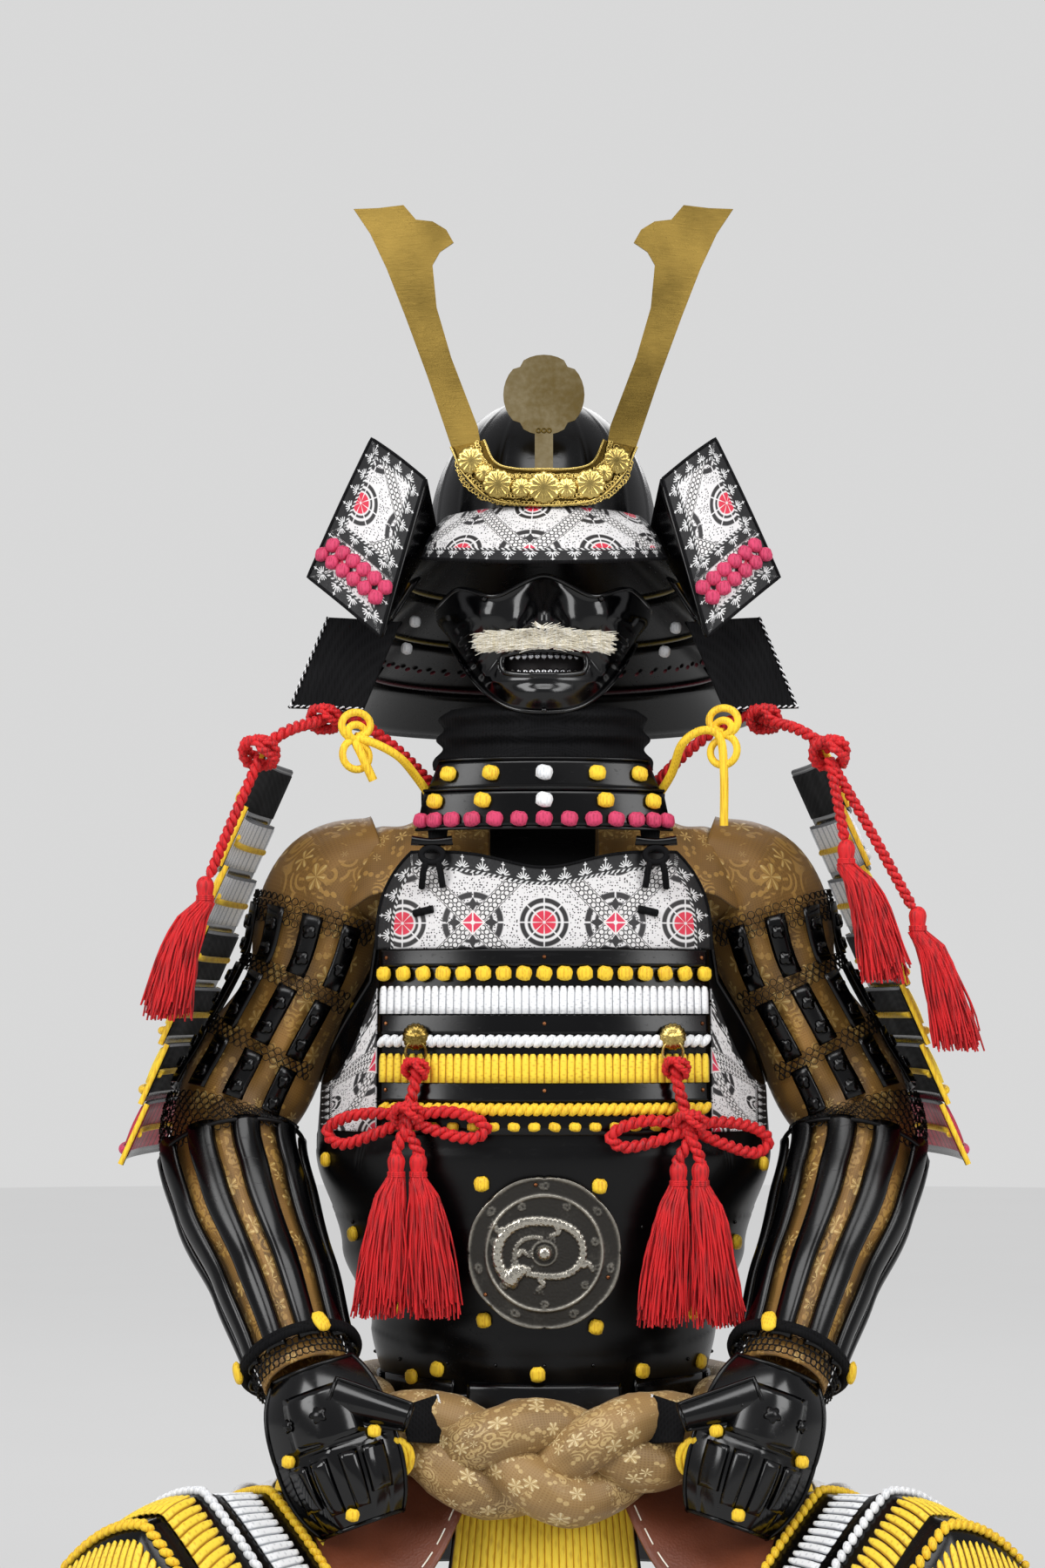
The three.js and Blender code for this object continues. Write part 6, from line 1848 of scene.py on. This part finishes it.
class ARMOUR_OT_belt(Piece):
    """Plaits the stuffed brocade rope round the waist"""
    bl_idname = "armour.belt"
    bl_label = "Rope belt"

    def make(self, settings):
        runs = []
        for strand in range(3):
            points = []
            for t in steps(16):
                x = lerp(-150, 150, t)
                phase = 2 * math.pi * (t * 1.05 + strand / 3) + 0.6
                middle = math.sin(math.pi * t)
                rise = 33 * math.sin(phase) * lerp(0.3, 1, middle) + 32 * (1 - middle)
                depth = 13 * math.sin(2 * phase) * lerp(0.5, 1, middle)
                points.append((x, -188 * math.sqrt(1 - (x / 225) ** 2) - depth, BELT_HEIGHT + rise))
            runs.append((smooth_line(points, 110), 25.5))
        ends = [Vector((146 * side, -134, BELT_HEIGHT + 34)) for side in (1, -1)]
        ring = [ring_point(math.radians(a), 182.3, 141.5, BELT_HEIGHT + 46) for a in steps(14, 58, 302)]
        runs.append((smooth_line([ends[0], *ring, ends[1]], 150), 17))
        bm = bmesh.new()
        uv = bm.loops.layers.uv.new("UVMap")
        sides = 30
        for k, (line, radius) in enumerate(runs):
            found, length, first = frames_of(line), line_length(line), len(bm.verts)
            bmesh.ops.create_grid(bm, x_segments=sides, y_segments=len(line) - 1, size=0.5)
            bm.verts.ensure_lookup_table()
            fresh = bm.verts[first:]
            for vert in fresh:
                u, v = vert.co.x + 0.5, clamp01(vert.co.y + 0.5)
                for loop in vert.link_loops:
                    loop[uv].uv = (u * 6.28 * radius * MM + k * 0.13, v * length * MM)
            for vert in fresh:
                u, v = vert.co.x + 0.5, clamp01(vert.co.y + 0.5)
                point, side, lift = found[round(v * (len(line) - 1))]
                angle = 2 * math.pi * u
                close = math.sqrt(max(0.0, 1 - abs(2 * v - 1) ** 14))
                spot = Vector((3 * math.cos(angle), 3 * math.sin(angle), 9 * v + 5 * k))
                crease = 1 - 0.05 * abs(math.sin(angle * 1.5 + 26 * v + 2 * noise.noise(spot)))
                swell = 1 + 0.05 * noise.noise(spot * 1.4)
                reach = radius * crease * swell * close
                vert.co = point + side * reach * math.cos(angle) + lift * reach * math.sin(angle)
        bmesh.ops.remove_doubles(bm, verts=bm.verts, dist=0.05)
        bmesh.ops.recalc_face_normals(bm, faces=bm.faces)
        rope = finish(object_from(bm, "rope_plait"), PAINT["rope"], "rope_brocade", ("rope_belt",))


class ARMOUR_OT_arms(Piece):
    """Sews the brocade sleeves and sets their mail, plates and splints"""
    bl_idname = "armour.arms"
    bl_label = "Arms"

    def make(self, settings):
        ring = template(lambda bm: self.ring(bm))
        for word, side in SIDES:
            def cloth(u, v):
                angle = 2 * math.pi * u
                row = arm_share(v)
                fold = 3 * math.sin(9 * math.pi * row + 2 * angle) * bell(row - 0.45, 0.2)
                fold += 3.4 * math.sin(26 * v + 3 * math.sin(angle)
                                       + 1.5 * math.sin(2 * angle)) * bell(v - 0.3, 0.25)
                fold += 1.2 * noise.noise(Vector((4 * math.cos(angle), 4 * math.sin(angle), 14 * v)))
                return arm_point(side, v, angle, fold - 0.5)
            sleeve = shell("sleeve_cloth_" + word, cloth, (84, 150), "sleeve", "sleeve_brocade",
                           ("sleeve_" + word,), 2, (0, 0, 0), (350, 570))
            self.face_out(sleeve, side)

            def yoke(u, v):
                x, a = lerp(52, 186, u), lerp(-1.12, 1.0, v)
                deep = 108 * math.sqrt(max(0.0, 1 - (x / 214) ** 2))
                sag = 3.6 * math.sin(9 * v + 5 * u) + 2.4 * math.sin(17 * u - 5 * v)
                top = -13 - 0.0016 * (x - 60) ** 2
                return Vector((x * side, deep * math.sin(a), top - 118 * (1 - math.cos(a)) - abs(sag)))
            saddle = shell("shoulder_cloth_" + word, yoke, (60, 60), "sleeve", "sleeve_brocade", (), 2,
                           (100 * side, 0, -300), (150, 240))

            def at(u, v, out=0.0):
                """u is an angle in degrees, v a share of the arm's length"""
                return arm_point(side, v, math.radians(u), out)
            a0, a1 = arm_length_at(0.17), arm_length_at(0.46)
            cells, ornaments = [], []
            for v0, v1 in ((0.0, 0.29), (0.35, 0.65), (0.71, 1.0)):
                for k in range(6):
                    u = lerp(-52, 148, (k + 0.25) / 6)
                    cells.append((u, u + 17, lerp(a0, a1, v0), lerp(a0, a1, v1)))
                    for share in (0.28, 0.72):
                        v = lerp(a0, a1, lerp(v0, v1, share))
                        point = at(u + 8.5, v, 12.4)
                        ornaments.append(pose(point, point - along_arm(side, v), (14, 14, 4), tilt=0.78))
            inside = along_arm(side, (a0 + a1) / 2)
            patches("arm_plates_" + word, lambda u, v, out: at(u, v, 9.4 + out), cells, "lacquer",
                    "black_lacquer", ("upper_arm_guard_" + word,), 2.4, (5, 6), 1.4, inside)

            def quatrefoil(bm):
                bmesh.ops.create_cone(bm, cap_ends=True, segments=24, radius1=0.5, radius2=0.4, depth=0.6)
                for vert in bm.verts:
                    angle = math.atan2(vert.co.y, vert.co.x)
                    vert.co.xy *= 0.78 + 0.3 * abs(math.cos(2 * angle))
            stamped("arm_ornaments_" + word, template(quatrefoil), ornaments, PAINT["lacquer"],
                    "black_lacquer")
            mail = []
            size = settings.mail_ring / MM
            zones = [(arm_length_at(0.475), arm_length_at(0.545), -75, 170),
                     (arm_length_at(0.925), 0.995, -180, 174), (a0 - 0.012, a0 + 0.02, -60, 150),
                     (lerp(a0, a1, 0.29), lerp(a0, a1, 0.35), -60, 150),
                     (lerp(a0, a1, 0.65), lerp(a0, a1, 0.71), -60, 150), (a0, a1, 118, 150)]
            for v0, v1, u0, u1 in zones:
                rows = max(2, int((v1 - v0) * ARM_RUN / (size * 0.82)))
                for i, v in enumerate(steps(rows, v0, v1)):
                    middle = along_arm(side, v)
                    count = max(1, int(math.radians(u1 - u0) * SLEEVE_RADIUS / (size * 0.92)))
                    for k in range(count):
                        u = lerp(u0, u1, (k + 0.5 + 0.5 * (i % 2)) / count)
                        point = at(u, v, 5.6)
                        mail.append(pose(point, point - middle, (size, size, size), tilt=0.5 * (k % 2)))
            stamped("arm_mail_" + word, ring, mail, PAINT["mail"], "black_lacquer")
            f0, f1 = arm_length_at(0.53), arm_length_at(0.93)
            cells = [(u, u + 26, f0, f1) for u in (lerp(-118, 118, (k + 0.17) / 6) for k in range(6))]
            patches("arm_splints_" + word, lambda u, v, out: at(u, v, 5.5 + out), cells, "lacquer",
                    "black_lacquer",
                    ("forearm_guard_" + word,), 2.4, (10, 30), 6.5, along_arm(side, (f0 + f1) / 2))
            hoops = []
            for v, wide in ((f0 + 0.01, 250), (f1 - 0.012, 250)):
                hoops.append([at(u, v, 8.6) for u in steps(50, -wide / 2, wide / 2)])
            tube("arm_hoops_" + word, hoops, 2.2, 8, "mail", "black_lacquer")
            tapes = [[at(u + 3 * math.sin(u * 0.05), v, 12.6) for u in steps(60, -180, 180)]
                     for v in (arm_length_at(0.885), arm_length_at(0.9))]
            tube("arm_tapes_" + word, tapes, 4.2, 8, "black cloth", "black_cloth")
            spots = [(at(u, arm_length_at(0.893), 16), at(u, 0.9, 30) - along_arm(side, 0.9))
                     for u in (-30, 75)]
            knots("arm_knots_" + word, spots, "yellow", "yellow_lacing", (15, 22, 8))

    @staticmethod
    def ring(bm):
        bmesh.ops.create_circle(bm, segments=8, radius=0.4)
        for vert in bm.verts:
            vert.co.z += 0.1 * math.sin(2 * math.atan2(vert.co.y, vert.co.x))
        edges = bm.edges[:]
        wide = bmesh.ops.extrude_edge_only(bm, edges=edges)["geom"]
        outer = [part for part in wide if isinstance(part, bmesh.types.BMVert)]
        bmesh.ops.scale(bm, vec=(1.25, 1.25, 1), verts=outer)
        lifted = bmesh.ops.extrude_edge_only(bm, edges=[part for part in wide
                                                        if isinstance(part, bmesh.types.BMEdge)
                                                        and len(part.link_faces) == 1])["geom"]
        top = [part for part in lifted if isinstance(part, bmesh.types.BMVert)]
        bmesh.ops.scale(bm, vec=(0.9, 0.9, 1), verts=top)
        bmesh.ops.translate(bm, vec=(0, 0, 0.2), verts=top)
        rims = [edge for edge in bm.edges if len(edge.link_faces) == 1]
        bmesh.ops.bridge_loops(bm, edges=rims)
        bmesh.ops.recalc_face_normals(bm, faces=bm.faces)

    @staticmethod
    def face_out(obj, side):
        """Turns the faces of a sleeve away from its own middle line"""
        bm = bmesh.new()
        bm.from_mesh(obj.data)
        bmesh.ops.remove_doubles(bm, verts=bm.verts, dist=0.00005)
        bm.normal_update()
        total = 0.0
        for face in bm.faces:
            middle = face.calc_center_median()
            nearest = min((mirrored(point, -side) * MM for point in ARM_LINE[::8]),
                          key=lambda p: (p - middle).length)
            total += face.normal.dot(middle - nearest)
        if total < 0:
            bmesh.ops.reverse_faces(bm, faces=bm.faces)
        bm.to_mesh(obj.data)
        bm.free()


def along_arm(side, v):
    return mirrored(along_line(ARM_LINE, v), -side)


class ARMOUR_OT_hands(Piece):
    """Domes the hand guards and their thumb plates"""
    bl_idname = "armour.hands"
    bl_label = "Hands"

    def make(self, settings):
        centre, _, face, _ = hand_frame()
        for word, side in SIDES:
            at, thumb = hand_at(side), thumb_at(side)
            behind = mirrored(centre - face * 60, -side)
            shell("hand_plate_" + word, at, (72, 80), "mask", "black_lacquer", ("hand_guard_" + word,), 3,
                  behind)
            shell("thumb_plate_" + word, thumb, (24, 24), "mask", "black_lacquer", (), 2.4, behind)
            rim = [at(*p, 0.3) for p in [(u, 0.004) for u in steps(24)] + [(0.996, v) for v in steps(24)]
                   + [(1 - u, 0.996) for u in steps(24)] + [(0.004, 1 - v) for v in steps(24)]]
            rim2 = [thumb(*p, 0.3) for p in [(u, 0) for u in steps(8)] + [(1, v) for v in steps(12)]
                    + [(1 - u, 1) for u in steps(8)] + [(0, 1 - v) for v in steps(12)]]
            tube("hand_rims_" + word, [rim, rim2], 2.0, 8, "lacquer", "black_lacquer")
            plates = [(0.1, 0.27, 0.56, 0.84), (0.3, 0.45, 0.56, 0.9), (0.55, 0.7, 0.56, 0.9),
                      (0.73, 0.9, 0.56, 0.84), (0.2, 0.8, 0.14, 0.48)]
            patches("hand_knuckles_" + word, lambda u, v, out: at(u, v, 1.6 + out), plates, "mask",
                    "black_lacquer", (), 2, (8, 8), 4.0, behind)
            marks = [pose(at(u, v, 5.4), surface_normal(at, u, v, behind), (r, r, 4), tilt=0.78)
                     for u, v, r in ((0.22, 0.3, 13), (0.78, 0.3, 13), (0.5, 0.3, 17))]

            def flower(bm):
                bmesh.ops.create_cone(bm, cap_ends=True, segments=32, radius1=0.5, radius2=0.36,
                                      depth=0.7)
                for vert in bm.verts:
                    angle = math.atan2(vert.co.y, vert.co.x)
                    vert.co.xy *= 0.72 + 0.32 * abs(math.cos(2.5 * angle))
            stamped("hand_ornaments_" + word, template(flower), marks, PAINT["lacquer"], "black_lacquer")
            tongue = [mirrored(p, -side) for p in ((-128, -196, -556), (-96, -178, -548),
                                                   (-120, -214, -584), (-84, -186, -590))]
            patch = corner_panel(tongue, 4)
            shell("hand_tongue_" + word, patch, (12, 12), "black cloth", "black_cloth", (), 3, behind)
            edge = [patch(1, v) + Vector((0, -2, 0)) for v in steps(24)]
            tube("hand_stitch_" + word, twisted(edge, 0.8, 5), 0.6, 6, "white", "white_lacing")
            spots = [(at(0.5, 0.93, 4), face), (at(0.14, 0.5, 4), face), (at(0.86, 0.5, 4), face)]
            knots("hand_knots_" + word, [(p, mirrored(n, -side)) for p, n in spots], "yellow",
                  "yellow_lacing", (13, 12, 8))
            loops = [[mirrored(Vector((-132 + 14 * math.cos(a) * w, -206 - 4 * math.sin(a),
                                       -600 + 16 * math.sin(a))), -side)
                      for a in steps(24, 0, 2 * math.pi)] for w in (1.0, 0.6)]
            tube("hand_loops_" + word, loops, 3.4, 8, "yellow", "yellow_lacing")


class ARMOUR_OT_guards(Piece):
    """Laces the large shoulder guards"""
    bl_idname = "armour.guards"
    bl_label = "Shoulder guards"

    def make(self, settings):
        looks = ["yellow", "white", "yellow", "yellow", "yellow", "yellow", "crimson"]
        for word, side in SIDES:
            edges = []
            for lame, look in enumerate(looks):
                at = guard_at(side, lame)
                name = "%s_%d" % (word, lame + 1)
                shell("guard_lame_" + name, at, (28, 8), "lacquer", "black_lacquer",
                      ("shoulder_guard_" + word,) if lame == 0 else (), 3, (0, 0, -100))
                laced("guard_lacing_" + name, at, 0.01, 0.99, 0.06, 0.64, 46, look + " lace",
                      LACE_SLOTS[look], 1.2)
                corded_row("guard_twist_" + name, at, 0.01, 0.99, 0.76, 44, look, LACE_SLOTS[look])

                def inner(u, v, out=0.0):
                    return at(u, v, -4.6 - out)
                shell("guard_lining_" + name, lambda u, v: inner(u, lerp(0.1, 0.9, v)), (28, 6),
                      *(("crimson lace", "red_silk") if lame == 6 else ("white lace", "white_lacing")
                        if lame in (1, 2)
                        else ("black cloth", "black_cloth")), (), 0.8, (500 * side, 0, -100))
                if lame:
                    corded_row("guard_inner_" + name, inner, 0.02, 0.98, 0.55, 30, "yellow",
                               "yellow_lacing", (9, 5, 5))
                edges += [[at(e, v, 0) for v in steps(8)] for e in (0.0, 1.0)]
            tube("guard_edges_" + word, edges, 2.4, 8, "yellow", "yellow_lacing")
            top = [guard_at(side, 0)(u, 0, 0) for u in steps(40)]
            tube("guard_top_" + word, [top], 3.4, 8, "lacquer", "black_lacquer")


class ARMOUR_OT_tassets(Piece):
    """Laces the tassets and lays the leather aprons under them"""
    bl_idname = "armour.tassets"
    bl_label = "Tassets"

    def make(self, settings):
        count = 26
        rows = {"front": [(0.2, 0.78, "yellow"), (0.86, 0.95, "yellow")],
                "lap": [(0.2, 0.45, "yellow"), (0.53, 0.62, "white"), (0.7, 0.79, "yellow"),
                        (0.88, 0.96, "yellow")]}
        twists = {"lap": [(0.485, "yellow"), (0.665, "white"), (0.845, "yellow")],
                  "front": [(0.845, "yellow")]}
        for kind in ("front", "hip", "back", "lap"):
            for word, side in (SIDES if kind != "front" else (("middle", 1),)):
                node = "tasset_front" if kind == "front" else "tasset_%s_%s" % (kind, word)
                at = tasset_at(kind, side)
                below = Vector((0, 0, -640)) if kind != "lap" else at(0.5, 0.6) + Vector((0, 60, -200))
                name = "%s_%s" % (kind, word)
                shell("tasset_plate_" + name, at, (40, 60), "lacquer", "black_lacquer", (node,), 3,
                      tuple(below))
                key = kind if kind == "front" else "lap"
                for k, (v0, v1, look) in enumerate(rows[key]):
                    laced("tasset_lacing_%s_%d" % (name, k + 1), at, 0.01, 0.99, v0, v1, count,
                          look + " lace", LACE_SLOTS[look], 0.8)
                for k, (v, look) in enumerate(twists[key]):
                    corded_row("tasset_twist_%s_%d" % (name, k + 1), at, 0.01, 0.99, v, count, look,
                               LACE_SLOTS[look], (13.5, 8, 8.5), 0.7)
                rims = [[at(e, v, 0) for v in steps(40, 0.2, 1)]
                        for e in (0.0, 1.0)] + [[at(u, 1, 0) for u in steps(40)]]
                tube("tasset_rims_" + name, rims, 1.8, 8, "lacquer", "black_lacquer")
        for word, side in SIDES:
            at = apron_at(side)
            apron = shell("apron_" + word, at, (48, 60), "leather", "brown_leather",
                          ("thigh_apron_" + word,), 2.5,
                          tuple(at(0.5, 0.5) + Vector((-30 * side, 60, -200))), (190, 330))
            seams = [[at(u, v, 1.2) for v in steps(70, 0.02, 0.98)] for u in (0.04, 0.5, 0.96)]
            dashes = [line[i:i + 3] for line in seams for i in range(0, len(line) - 3, 3)]
            tube("apron_stitches_" + word, dashes, 0.7, 6, "fur", "cream_fur")


# The panel, and the run

PIECES = (ARMOUR_OT_stage, ARMOUR_OT_cords, ARMOUR_OT_tassels, ARMOUR_OT_helmet, ARMOUR_OT_turnbacks,
          ARMOUR_OT_neck_guard, ARMOUR_OT_mask, ARMOUR_OT_throat, ARMOUR_OT_cuirass, ARMOUR_OT_chest,
          ARMOUR_OT_metal,
          ARMOUR_OT_belt, ARMOUR_OT_arms, ARMOUR_OT_hands, ARMOUR_OT_guards, ARMOUR_OT_tassets)


class ARMOUR_PT_pieces(bpy.types.Panel):
    """Lists the pieces of the armour"""
    bl_idname = "ARMOUR_PT_pieces"
    bl_label = "Armour"
    bl_space_type = "VIEW_3D"
    bl_region_type = "UI"
    bl_category = "Armour"

    def draw(self, context):
        for name in ArmourSettings.__annotations__:
            self.layout.prop(context.scene.armour, name)
        for piece in PIECES:
            self.layout.operator(piece.bl_idname)


def register():
    for kind in (ArmourSettings, *PIECES, ARMOUR_PT_pieces):
        bpy.utils.register_class(kind)
    bpy.types.Scene.armour = bpy.props.PointerProperty(type=ArmourSettings)


def unregister():
    del bpy.types.Scene.armour
    for kind in (ARMOUR_PT_pieces, *reversed(PIECES), ArmourSettings):
        bpy.utils.unregister_class(kind)


def main():
    register()
    for piece in PIECES:
        family, name = piece.bl_idname.split(".")
        getattr(getattr(bpy.ops, family), name)()
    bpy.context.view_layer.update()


if __name__ == "__main__":
    main()
